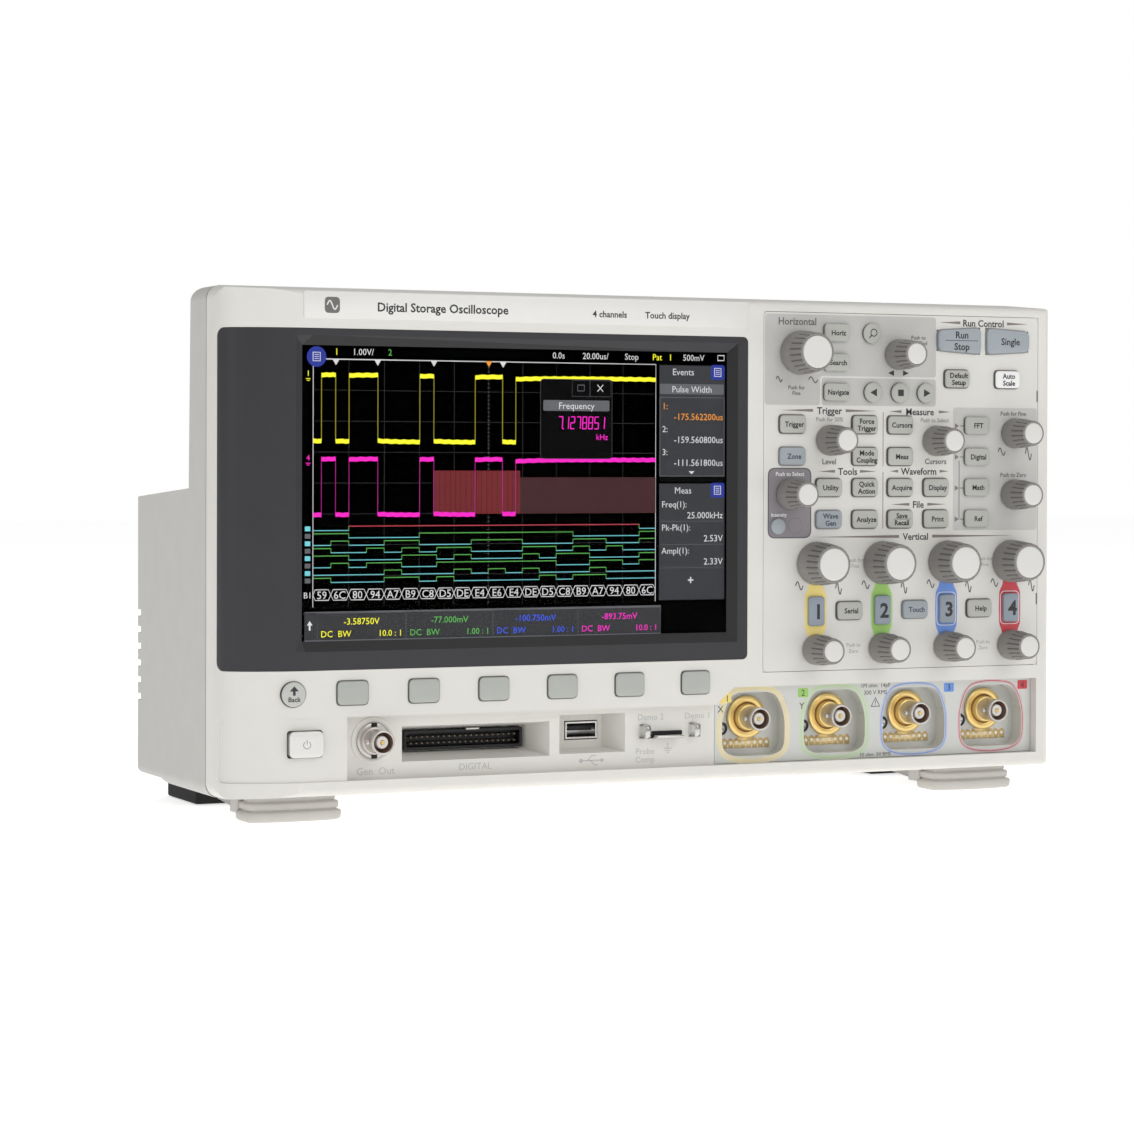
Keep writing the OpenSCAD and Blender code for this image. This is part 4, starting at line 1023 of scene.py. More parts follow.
    def _digital(self, art: Ink) -> None:
        """Draws the eight logic lines, the bus line and their marks.

        Args:
            art: the layer that takes the print.
        """
        x0, _, x1, _ = self.frame
        pitch = (x1 - x0) / len(self.cells)
        step_up = 1.7
        for row in range(8):
            base = 116.0 - row * 2.95
            high_tone = LIT_ROSE if row == 0 else LIT_GREEN
            before: Optional[int] = None
            for step, cell in enumerate(self.cells):
                bit = int(cell, 16) >> (7 - row) & 1
                left, right = x0 + pitch * step, x0 + pitch * (step + 1)
                z = base + step_up * bit
                art.band([(left, z), (right, z)], 0.3, high_tone if bit else LIT_CYAN, lift=0.02)
                if before is not None and before != bit:
                    art.band([(left, base), (left, base + step_up)], 0.22, LIT_GREEN, lift=0.022)
                before = bit
            tone = LIT_GREY if row % 2 else LIT_CYAN
            art.area(span_box(-156.9, base - 0.2, -154.6, base + 1.7), tone, 0.02)
        for step, cell in enumerate(self.cells):
            cx = x0 + pitch * (step + 0.5)
            half = pitch / 2
            lozenge = [
                (cx - half, 90.4), (cx - half + 1.0, 92.5), (cx + half - 1.0, 92.5),
                (cx + half, 90.4), (cx + half - 1.0, 88.3), (cx - half + 1.0, 88.3),
            ]
            art.band(lozenge, 0.26, LIT_WHITE, closed=True, lift=0.02)
            art.word(cell, cx, 90.4, 4.4, LIT_WHITE, lift=0.03, fit=5.4)
        art.word("B1", -155.7, 90.4, 3.4, LIT_WHITE, lift=0.03, fit=3.2)

    def _status(self, art: Ink) -> None:
        """Writes the line above the grid.

        Args:
            art: the layer that takes the print.
        """
        art.area([(-152.1 + x, 185.1 + z) for x, z in circle(4.1, 36)], LIT_ICON, 0.06)
        self._list_icon(art, -152.1, 185.1)
        z = 187.3
        for text, x, glow in (
            ("1", -143.6, LIT_YELLOW), ("1.00V/", -132.3, LIT_WHITE), ("2", -120.8, LIT_GREEN),
            ("0.0s", -46.5, LIT_WHITE), ("20.00us/", -29.8, LIT_WHITE), ("Stop", -13.2, LIT_WHITE),
            ("Pat", -1.4, LIT_YELLOW), ("1", 4.8, LIT_YELLOW), ("500mV", 15.6, LIT_WHITE),
        ):
            art.word(text, x, z, 3.7, glow, squeeze=0.95, lift=0.03)
        battery = [(27.0 + x, z + y) for x, y in ((0, -1), (3, -1), (3, 1.1), (0, 1.1))]
        art.band(battery, 0.3, LIT_WHITE, True)

    def _list_icon(self, art: Ink, x: float, z: float) -> None:
        """Draws the small page icon on a blue button.

        Args:
            art: the layer that takes the print.
            x: its middle along the front.
            z: its middle in height.
        """
        page = [(x - 1.5, z - 1.7), (x + 1.5, z - 1.7), (x + 1.5, z + 1.7), (x - 1.5, z + 1.7)]
        art.band(page, 0.28, LIT_WHITE, closed=True, lift=0.08)
        for dz in (-0.8, 0.0, 0.8):
            art.band([(x - 0.9, z + dz), (x + 0.9, z + dz)], 0.24, LIT_WHITE, lift=0.08)

    def _side_panel(self, art: Ink) -> None:
        """Draws the two lists at the right of the grid.

        Args:
            art: the layer that takes the print.
        """
        x0, x1 = -0.3, 30.4
        art.area(span_box(x0, 86.0, x1, 134.6), LIT_PANEL, 0.005)
        art.area(span_box(x0, 137.4, x1, 184.0), LIT_PANEL, 0.005)
        art.area(span_box(x0 + 0.4, 135.2, x1, 137.0), PANEL_BLACK, 0.006)
        for z, text in ((181.3, "Events"), (131.8, "Meas")):
            art.word(text, 10.8, z, 3.9, LIT_WHITE, lift=0.03)
            art.area([(27.0 + a, z + b) for a, b in rectangle(6.4, 6.2, 0.8)], LIT_ICON, 0.04)
            self._list_icon(art, 27.0, z)
        art.area([(14.9 + a, 174.1 + b) for a, b in rectangle(30.0, 4.3, 0.5)], LIT_HEADING, 0.01)
        art.word("Pulse Width", 14.9, 174.1, 3.8, LIT_WHITE, lift=0.03, fit=24.0)
        art.band(span_box(x0 + 0.3, 137.8, x1 - 0.3, 170.6), 0.24, LIT_HEADING, closed=True, lift=0.01)
        for index, (value, glow) in enumerate(
            (("-175.562200us", LIT_ORANGE), ("-159.560800us", LIT_WHITE), ("-111.561800us", LIT_WHITE))
        ):
            z = 167.0 - 9.6 * index
            art.word(f"{index + 1}:", 1.0, z, 3.7, glow, Align.LEFT, lift=0.03)
            art.word(value, 29.6, z - 4.4, 3.9, glow, Align.RIGHT, lift=0.03, fit=26.0)
        art.area([(13.4, 139.8), (14.8, 138.5), (16.2, 139.8)], LIT_WHITE, 0.02)
        for index, (name, value) in enumerate(
            (("Freq(1):", "25.000kHz"), ("Pk-Pk(1):", "2.53V"), ("Ampl(1):", "2.33V"))
        ):
            z = 126.0 - 9.7 * index
            art.word(name, 0.8, z, 3.7, LIT_WHITE, Align.LEFT, lift=0.03)
            art.word(value, 29.6, z - 4.6, 3.9, LIT_WHITE, Align.RIGHT, lift=0.03)
            art.band([(x0 + 0.5, z - 7.2), (x1 - 0.5, z - 7.2)], 0.16, LIT_HEADING, lift=0.01)
        art.band([(13.2, 94.2), (15.8, 94.2)], 0.55, LIT_WHITE, lift=0.02)
        art.band([(14.5, 92.9), (14.5, 95.5)], 0.55, LIT_WHITE, lift=0.02)

    def _readout(self, art: Ink) -> None:
        """Draws the floating counter window.

        Args:
            art: the layer that takes the print.
        """
        art.area([(-38.4 + a, 161.2 + b) for a, b in rectangle(32.4, 32.6, 1.2)], PANEL_BLACK, 0.04)
        frame = [(-38.4 + a, 161.2 + b) for a, b in rectangle(32.4, 32.6, 1.2)]
        art.band(frame, 0.24, LIT_PANEL, True, 0.05)
        art.band(span_box(-40.4, 170.5, -32.4, 177.1), 0.24, LIT_PANEL, closed=True, lift=0.055)
        art.band(span_box(-32.2, 170.5, -22.8, 177.1), 0.24, LIT_PANEL, closed=True, lift=0.055)
        art.band([(-28.9, 172.6), (-26.3, 175.4)], 0.34, LIT_WHITE, lift=0.06)
        art.band([(-28.9, 175.4), (-26.3, 172.6)], 0.34, LIT_WHITE, lift=0.06)
        art.band(span_box(-37.9, 172.8, -34.9, 175.2), 0.24, LIT_GREY, closed=True, lift=0.06)
        art.area([(-38.4 + a, 166.7 + b) for a, b in rectangle(30.0, 4.4, 0.5)], LIT_HEADING, 0.06)
        art.word("Frequency", -38.4, 166.7, 3.9, LIT_WHITE, lift=0.08)
        self._figures(art, "7.1278851", -46.6, 157.2)
        art.word("kHz", -24.0, 153.9, 3.4, LIT_MAGENTA, Align.RIGHT, lift=0.08)

    @staticmethod
    def _figures(art: Ink, text: str, left: float, base: float) -> None:
        """Draws figures made of seven straight strokes each.

        Args:
            art: the layer.
            text: the figures, with one point.
            left: left edge of the first figure.
            base: lower edge of the figures.
        """
        wide, tall, pitch = 1.75, 4.9, 2.72
        half = tall / 2
        strokes = (
            ((0, tall), (wide, tall)), ((wide, half), (wide, tall)), ((wide, 0), (wide, half)),
            ((0, 0), (wide, 0)), ((0, 0), (0, half)), ((0, half), (0, tall)), ((0, half), (wide, half)),
        )
        lit = {"1": (1, 2), "2": (0, 1, 3, 4, 6), "5": (0, 2, 3, 5, 6), "7": (0, 1, 2), "8": range(7)}
        place = left
        for sign in text:
            if sign == ".":
                art.area([(place - 0.55 + x, base + z) for x, z in circle(0.32, 10)], LIT_MAGENTA, 0.08)
                continue
            for index in lit[sign]:
                ends = [(place + x + z * 0.06, base + z) for x, z in strokes[index]]
                art.band(ends, 0.42, LIT_MAGENTA, lift=0.08)
            place += pitch

    def _channel_row(self, art: Ink) -> None:
        """Writes the row of channel settings under the grid.

        Args:
            art: the layer that takes the print.
        """
        x0, x1 = -157.0, 0.6
        art.area(span_box(x0, 72.2, x1, 83.6), LIT_ROW, 0.005)
        art.band(span_box(x0, 72.2, x1, 83.6), 0.3, LIT_HEADING, closed=True, lift=0.01)
        art.area([(-155.2, 76.4), (-154.4, 76.4), (-154.4, 78.4), (-153.6, 78.4), (-154.8, 80.2),
                  (-156.0, 78.4), (-155.2, 78.4)], LIT_WHITE, 0.03)
        for index, (value, ratio, glow) in enumerate((
            ("-3.58750V", "10.0 : 1", LIT_YELLOW), ("-77.000mV", "1.00 : 1", LIT_GREEN),
            ("-100.750mV", "1.00 : 1", LIT_BLUE), ("-893.75mV", "10.0 : 1", LIT_MAGENTA),
        )):
            left = -151.6 + 38.1 * index
            art.band(span_box(left, 72.3, left + 37.6, 83.2), 0.18, LIT_HEADING, closed=True, lift=0.012)
            art.word(value, left + 18.8, 79.8, 3.7, glow, lift=0.03)
            art.word("DC  BW", left + 1.4, 74.9, 3.6, glow, Align.LEFT, lift=0.03)
            art.word(ratio, left + 36.4, 74.9, 3.5, glow, Align.RIGHT, lift=0.03)


# ---------------------------------------------------------------- key field


class KeyStyle(Enum):
    """How a legend key is coloured."""

    GREY = "grey"
    BLUE = "blue"
    WHITE = "white"


# Each style pairs a face finish with a flank finish that paints shade on the key's sides.
KEY_PAINT = {
    KeyStyle.GREY: (KEY, KEY_FLANK_SHADE),
    KeyStyle.BLUE: (KEY_BLUE, KEY_BLUE_FLANK_SHADE),
    KeyStyle.WHITE: (KEY_WHITE, KEY_FLANK_SHADE),
}


@dataclass(frozen=True)
class Legend:
    """One legend key: its words, its group and where it is on the field."""

    words: tuple[str, ...]
    group: str
    x: float
    z: float
    style: KeyStyle = KeyStyle.GREY

    @property
    def label(self) -> str:
        """A name for the piece."""
        return "_".join(self.words).lower()


@dataclass
class KeyField:
    """The plate with its printed zones, captions and channel bands."""

    plan: Plan
    channels: Sequence[float]
    band_z: float

    def build(self) -> None:
        """Makes the plate and its print."""
        self.plan.shell("keypad_panel", [FIELD], CABINET, 0.3, 2)
        self.depth = self.plan.depth(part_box("keypad_panel")[0].y)
        self._corners()
        self._zones()
        self._bands()
        self._captions()

    def _corners(self) -> None:
        """Closes the small gaps that the plate's rounded corners leave."""
        low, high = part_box("keypad_panel")
        shape = bmesh.new()
        for x, along in ((low.x / MM, 1), (high.x / MM, -1)):
            for z, up in ((low.z / MM, 1), (high.z / MM, -1)):
                xs = sorted((x - along * 0.35, x + along * 1.6))
                zs = sorted((z - up * 0.35, z + up * 1.6))
                block(shape, self.plan, (xs[0], self.depth + 0.4, zs[0]), (xs[1], self.depth + 0.9, zs[1]))
        self.plan.finish_piece(shape, "field_corner", [BEZEL], CABINET)

    def _zones(self) -> None:
        """Prints the grey fields."""
        art = Ink(self.plan, self.depth - PAINT_LIFT)
        art.area(fillet([(131.4, 180.4), (131.4, 206.4), (47.4, 206.4), (47.4, 167.9), (74.0, 167.9),
                         (74.0, 180.4)], 1.5), ZONE)
        art.area(fillet(span_box(74.9, 167.9, 131.4, 179.7), 1.5), ZONE)
        art.area(fillet(span_box(140.2, 114.2, 183.2, 167.6), 1.4), ZONE_SOFT)
        art.area(fillet(span_box(49.0, 111.4, 70.0, 141.3), 3.4), ENTRY_RIM)
        art.area(fillet(span_box(49.5, 111.9, 69.5, 140.8), 3.0), ENTRY, 0.02)
        art.band([(62.2 + x, 116.7 + z) for x, z in circle(3.4, 28)], 0.26, ENTRY_MARK, True, 0.03)
        for z in (170.4, 81.4):
            art.area(span_box(182.9, z, 183.6, z + 5.0), INK_MID, 0.01)
        art.lay("field_zone")

    def _bands(self) -> None:
        """Prints each channel's coloured band between its two knobs."""
        art = Ink(self.plan, self.depth - PAINT_LIFT)
        half = ((15.0, 2.9), (10.4, 3.0), (7.2, 4.8), (0.0, 5.0), (-7.2, 4.8), (-10.2, 3.4), (-15.0, 2.9))
        for index, x in enumerate(self.channels):
            for grow, paint, lift in ((0.55, PALE_CHANNELS[index], 0.0), (0.0, CHANNELS[index], 0.02)):
                right = [(x + w + grow, self.band_z + z) for z, w in reversed(half)]
                left = [(x - w - grow, self.band_z + z) for z, w in half]
                art.area(fillet(right + left, 1.2, 3), paint, lift)
            if index > 1:
                rim = [(x + a, self.band_z + b) for a, b in rectangle(9.5, 14.3, 1.9)]
                art.band(rim, 0.32, INK_WHITE, closed=True, lift=0.04)
        art.lay("channel_band")

    def _rule(self, art: Ink, x0: float, x1: float, z: float, outward: bool) -> None:
        """One caption rule, thick beside the caption."""
        ends = (x1, x0) if outward else (x0, x1)
        art.taper(ends[0], ends[1], z, INK_LINE, 1.25)

    def _captions(self) -> None:
        """Prints the captions, rules, icons and small notes."""
        art = Ink(self.plan, self.depth - 0.06)
        art.word("Horizontal", 63.0, 203.5, 4.3, INK_MID, heavy=0.022)
        for text, x, z, l0, l1, r0, r1 in (
            ("Run Control", 155.4, 204.4, 133.2, 143.7, 167.5, 178.2),
            ("Trigger", 78.7, 165.7, 55.0, 70.7, 86.6, 101.8),
            ("Measure", 123.4, 165.6, 108.2, 114.2, 132.9, 138.9),
            ("Tools", 87.7, 139.8, 73.3, 81.5, 93.7, 101.9),
            ("Waveform", 123.0, 139.9, 108.5, 112.6, 133.4, 138.0),
            ("File", 122.7, 125.6, 109.1, 118.3, 127.3, 136.7),
            ("Vertical", 121.5, 111.8, 70.1, 113.2, 129.8, 170.9),
        ):
            art.word(text, x, z, 4.1, INK_DARK, heavy=0.018)
            self._rule(art, l0, l1, z, True)
            self._rule(art, r0, r1, z, False)
        for text, x, z, size, tone in (
            ("Level", 78.6, 144.0, 3.3, INK_MID), ("Cursors", 131.4, 144.2, 3.3, INK_MID),
            ("Push for 50%", 78.7, 162.0, 2.5, INK_FAINT), ("Push to Select", 130.9, 162.0, 2.5, INK_FAINT),
            ("Push for Fine", 170.9, 165.2, 2.5, INK_MID), ("Push to Zero", 171.0, 138.4, 2.5, INK_MID),
            ("Push for", 62.6, 175.4, 2.4, INK_MID), ("Fine", 62.6, 173.0, 2.4, INK_MID),
            ("Push to", 122.6, 197.6, 2.4, INK_MID), ("Find", 125.0, 195.2, 2.4, INK_MID),
            ("Push to Select", 59.6, 138.7, 2.4, INK_WHITE), ("Intensity", 54.4, 121.4, 2.2, INK_WHITE),
        ):
            art.word(text, x, z, size, tone, heavy=0.02)
        for x in (91.6, 156.6):
            for text, z in (("Push for", 101.9), ("Fine", 99.3)):
                art.word(text, x, z, 2.3, INK_FAINT)
            for text, z in (("Push to", 65.6), ("Zero", 63.0)):
                art.word(text, x - 0.8, z, 2.3, INK_FAINT)
        for z0, z1 in ((115.3, 139.6), (142.0, 165.2)):
            art.band([(105.1, z0), (105.1, z1)], 0.32, INK_LINE)
        self._bracket(art)
        for x in (109.0, 116.3):
            side = -1 if x < 112 else 1
            tip = [(x + side * 1.5, 182.1), (x - side * 1.4, 183.3), (x - side * 1.4, 180.9)]
            art.area(tip, INK_DARK)
        waves = [
            (54.3, 178.8, 2.9, 2.3), (70.7, 178.7, 4.4, 2.5),
            (165.0, 148.5, 3.6, 3.2), (178.8, 147.6, 3.2, 5.4),
        ]
        for x in self.channels:
            waves += [(x - 7.9, 91.2, 3.6, 3.4), (x + 11.2, 89.8, 2.9, 5.0)]
        for x, z, width, height in waves:
            art.band([(x + a, z + b) for a, b in wave(width, height)], 0.46, INK_DIM)
        art.lay("field_print")

    def _bracket(self, art: Ink) -> None:
        """Prints the line and arrows beside the function keys.

        Args:
            art: the layer that takes the print.
        """
        x = 143.3
        art.band([(x, 119.1), (x, 144.4)], 0.36, INK_MID)
        for z in (159.6, 146.1, 132.6, 119.1):
            art.area([(x - 2.2, z + 1.2), (x - 2.2, z - 1.2), (x - 0.1, z)], INK_LINE)
            art.band([(x + 0.4, z), (x + 2.2, z)], 0.4, INK_LINE)


@dataclass
class KeySet:
    """Every key that travels: legend keys, menu keys, channel keys, run keys and the power key."""

    plan: Plan
    legends: Sequence[Legend]
    size: Pair = (12.3, 7.5)
    # Rings of painted shade round the keys, for the shadow in their gaps.
    gaps: Ink = field(init=False)

    def build(self) -> None:
        """Makes each group in turn."""
        self.gaps = Ink(self.plan, -0.015)
        self._legend_keys()
        self._round_keys()
        self._channel_keys()
        self._run_keys()
        self._menu_keys()
        self._power_key()
        self.gaps.lay("key_gap")

    def _cap(
        self, name: str, centre: Pair, outline: Sequence[Pair], front: float, rear: float,
        paints: Sequence[Finish], node: str, crown: float = 0.12, flat: bool = True,
    ) -> None:
        """One key cap with flanks darkened by painted shade, an eased rim and a slightly crowned face.

        Args:
            name: the piece's name.
            centre: x and z of its middle.
            outline: its outline about the middle.
            front: depth of its face.
            rear: depth of its rear edge.
            paints: finish of the face and of the flanks, the flanks' finish being painted shade.
            node: the body that carries it, and the engineering node that it stands for.
            crown: how far the face is crowned.
            flat: whether it comes through a flat wall, where a ring of painted shade marks its gap.
        """
        if flat:
            wide = 1 + 0.26 / max(abs(p[0]) for p in outline)
            high = 1 + 0.26 / max(abs(p[1]) for p in outline)
            # The gap ring is painted shade: the faint ink round blue keys, the gap shade round the rest.
            tone = INK_FAINT if paints[1] is KEY_BLUE_FLANK_SHADE else INK_GAP_SHADE
            ring = [(centre[0] + x * wide, centre[1] + z * high) for x, z in outline]
            self.gaps.band(ring, 0.42, tone, True)
        shape = bmesh.new()
        profile = [(rear, 0.0), (front + 0.55, 0.0), (front + 0.3, 0.04), (front + 0.1, 0.22),
                   (front, 0.55), (front - crown, 2.2), (front - crown * 1.2, 3.4)]
        # The first band, the flank, takes the second finish, which is painted shade.
        pad(shape, self.plan, centre, outline, profile, [1, 0, 0, 0, 0, 0, 0])
        self.plan.finish_piece(shape, name, paints, node, (node,), 40.0)

    def _nearest(self, node: str, x: float, z: float) -> Pair:
        """The middle of the solid of a node that is closest to a place."""
        return min(self.plan.centres(node), key=lambda c: (c[0] - x) ** 2 + (c[1] - z) ** 2)

    def _front(self, node: str) -> float:
        """The depth of a node's face."""
        return self.plan.depth(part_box(node)[0].y)

    def _legend_keys(self) -> None:
        """Makes the rectangular legend keys and their words."""
        outline = rectangle(*self.size, 1.5)
        for group in dict.fromkeys(legend.group for legend in self.legends):
            front = self._front(group)
            words = Ink(self.plan, front - PRINT_LIFT)
            for legend in (item for item in self.legends if item.group == group):
                centre = self._nearest(group, legend.x, legend.z)
                name = f"{group}_{legend.label}"
                self._cap(name, centre, outline, front, CAP_REAR, KEY_PAINT[legend.style], group)
                rows = len(legend.words)
                for row, word in enumerate(legend.words):
                    dz = 0.0 if rows == 1 else (1.5 if row == 0 else -1.5)
                    tone = INK_SLATE if legend.style is KeyStyle.BLUE else INK_KEY
                    words.word(word, centre[0] + 0.4, centre[1] + dz, 3.1, tone, heavy=0.026, fit=10.2)
                if legend.words == ("Save", "Recall"):
                    words.band([(centre[0] - 3.6, centre[1]), (centre[0] + 4.6, centre[1])], 0.2, INK_KEY)
            words.lay(f"{group}_words", group)

    def _round_keys(self) -> None:
        """Makes the four round keys of the horizontal section and the lit entry key."""
        group = "horizontal_keys"
        front = self._front(group)
        words = Ink(self.plan, front - PRINT_LIFT)
        grey = KEY_PAINT[KeyStyle.GREY]
        for name, x, z in (
            ("zoom", 98.9, 198.9), ("back", 99.5, 173.6), ("halt", 112.9, 173.6), ("on", 125.9, 173.6),
        ):
            cx, cz = self._nearest(group, x, z)
            self._cap(f"{group}_{name}", (cx, cz), circle(4.3), front, CAP_REAR, grey, group)
            if name == "zoom":
                words.band([(cx + 0.5 + a, cz + 0.3 + b) for a, b in circle(1.5, 24)], 0.42, INK_DARK, True)
                words.band([(cx - 0.6, cz - 0.8), (cx - 1.7, cz - 2.0)], 0.5, INK_DARK)
            elif name == "halt":
                words.area([(cx + a, cz + b) for a, b in rectangle(2.8, 2.8, 0.1)], INK_DARK)
            else:
                s = -1 if name == "back" else 1
                tip = ((1.8, 0.0), (-1.5, 1.7), (-1.5, -1.7))
                words.area([(cx + s * a, cz + b) for a, b in tip], INK_DARK)
        words.lay(f"{group}_signs", group)
        node = "function_keys"
        centre = self._nearest(node, 53.6, 116.5)
        blue = KEY_PAINT[KeyStyle.BLUE]
        self._cap("entry_key", centre, circle(3.4), self._front(node), CAP_REAR, blue, node)

    def _channel_keys(self) -> None:
        """Makes the four numbered channel keys."""
        outline, paints = rectangle(7.6, 12.5, 1.2), (KEY_SLATE, KEY_BLUE_FLANK_SHADE)
        for index in range(4):
            node = f"channel_key_{index + 1}"
            centre = self.plan.centres(node)[0]
            front = self._front(node)
            self._cap(f"{node}_cap", centre, outline, front, CAP_REAR, paints, node)
            words = Ink(self.plan, front - PRINT_LIFT)
            words.word(str(index + 1), centre[0] + 0.5, centre[1], 8.6, INK_DARK, heavy=0.032)
            words.lay(f"{node}_number", node)

    def _run_keys(self) -> None:
        """Makes the two tapered run keys."""
        for node, side, lines in (("run_stop_key", -1, ("Run", "Stop")), ("single_key", 1, ("Single",))):
            centre = self.plan.centres(node)[0]
            front = self._front(node)
            w, tall, short = 10.8, 5.7, 4.35
            corners = [(side * w, -short), (side * w, short), (-side * w, tall), (-side * w, -tall)]
            outline = fillet(corners, 2.4)
            self._cap(f"{node}_cap", centre, outline, front, CAP_REAR, KEY_PAINT[KeyStyle.BLUE], node)
            words = Ink(self.plan, front - PRINT_LIFT)
            for row, line in enumerate(lines):
                dz = 0.0 if len(lines) == 1 else (2.5 if row == 0 else -2.5)
                words.word(line, centre[0] + 0.8, centre[1] + dz, 4.2, INK_DARK, heavy=0.022)
            if len(lines) > 1:
                words.band([(centre[0] - 7.6, centre[1]), (centre[0] + 9.0, centre[1])], 0.26, INK_DARK)
            words.lay(f"{node}_words", node)

    def _menu_keys(self) -> None:
        """Makes the six keys under the display and the round back key."""
        for index in range(6):
            node = f"softkey_{index + 1}"
            centre = self.plan.centres(node)[0]
            outline = rectangle(13.0, 9.4, 1.7)
            paints = (SOFTKEY, SOFTKEY_FLANK_SHADE)
            self._cap(f"{node}_cap", centre, outline, self._front(node), 2.2, paints, node)
        x, z = self.plan.centres("back_key")[0]
        front = self._front("back_key")
        paints = (BACK_TOP, SOFTKEY_FLANK_SHADE)
        self._cap("back_key_cap", (x, z), circle(5.0), front, 3.0, paints, "back_key", flat=False)
        words = Ink(self.plan, front - PRINT_LIFT)
        arrow = ((0.55, -1.5), (0.55, 0.2), (1.9, 0.2), (0, 2.2), (-1.9, 0.2), (-0.55, 0.2), (-0.55, -1.5))
        words.area([(x + a, z + 1.1 + b) for a, b in arrow], INK_DARK)
        words.word("Back", x, z - 1.9, 2.7, INK_DARK, heavy=0.02)
        words.lay("back_key_sign", "back_key")

    def _power_key(self) -> None:
        """Makes the white power key with its standby sign."""
        x, z = self.plan.centres("power_key")[0]
        front = self._front("power_key")
        outline = rectangle(14.2, 10.4, 1.9)
        paints = (POWER, POWER_FLANK_SHADE)
        self._cap("power_key_cap", (x, z), outline, front, 3.4, paints, "power_key", 0.18, False)
        sign = Ink(self.plan, front - 0.24)
        arc = [(x + 1.5 * math.sin(a), z - 0.1 + 1.5 * math.cos(a)) for a in
               (math.radians(35 + 290 * i / 24) for i in range(25))]
        sign.band(arc, 0.3, INK_POWER)
        sign.band([(x, z + 0.1), (x, z + 2.0)], 0.3, INK_POWER)
        sign.lay("power_key_sign", "power_key")


@dataclass
class Knob:
    """A fluted turning knob with a pale cap.

    Attributes:
        node: the engineering node, which is also its body.
        flutes: short grooves around the grip.
    """

    plan: Plan
    node: str
    flutes: int

    def build(self) -> None:
        """Turns the grip and sets the cap into its front."""
        low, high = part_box(self.node)
        centre = ((low.x + high.x) / 2 / MM, (low.z + high.z) / 2 / MM)
        r = (high.x - low.x) / 2 / MM
        front = self.plan.depth(low.y)
        rear = -0.5
        large = r > 8
        cap = r * (0.74 if large else 0.68)
        nose = 0.885 if large else 0.845
        start = front * 0.5
        profile = [
            (rear + 0.1, r - 0.5), (rear, r - 0.1), (rear - 0.5, r), (start, r * 0.965),
            (start - 0.5, r * 0.96), (front * 0.7, r * (nose + 0.04)), (front + 1.1, r * nose),
            (front + 0.5, r * (nose - 0.015)), (front + 0.12, r * (nose - 0.045)), (front, cap + 0.35),
            (front + 0.1, cap + 0.1), (front + 0.6, cap),
        ]
        sides = 8
        notch = {0: -0.4, 1: -0.24, sides - 1: -0.24}

        def ripple(index: int, depth: float) -> float:
            """Cuts a narrow flute over the front half of the grip."""
            return notch.get(index % sides, 0.0) if front + 0.15 < depth < start - 0.1 else 0.0

        def tone(band: int, index: int) -> int:
            """Darkens the floor of each flute with painted shade."""
            return 1 if 3 <= band <= 6 and index % sides in (0, sides - 1) else 0

        shape = bmesh.new()
        lathe(shape, self.plan, centre, profile, self.flutes * sides, tone, ripple)
        paints = [KNOB, KNOB_GROOVE_SHADE]
        self.plan.finish_piece(shape, f"{self.node}_grip", paints, self.node, (self.node,), 40.0)
        disc = bmesh.new()
        face = [(front + 0.5, cap - 0.02), (front - 0.1, cap - 0.05), (front - 0.28, cap - 0.25),
                (front - 0.34, cap - 0.8), (front - 0.36, cap * 0.4)]
        lathe(disc, self.plan, centre, face, 48)
        self.plan.finish_piece(disc, f"{self.node}_cap", [KNOB_CAP], self.node)


# ---------------------------------------------------------------- inputs and ports


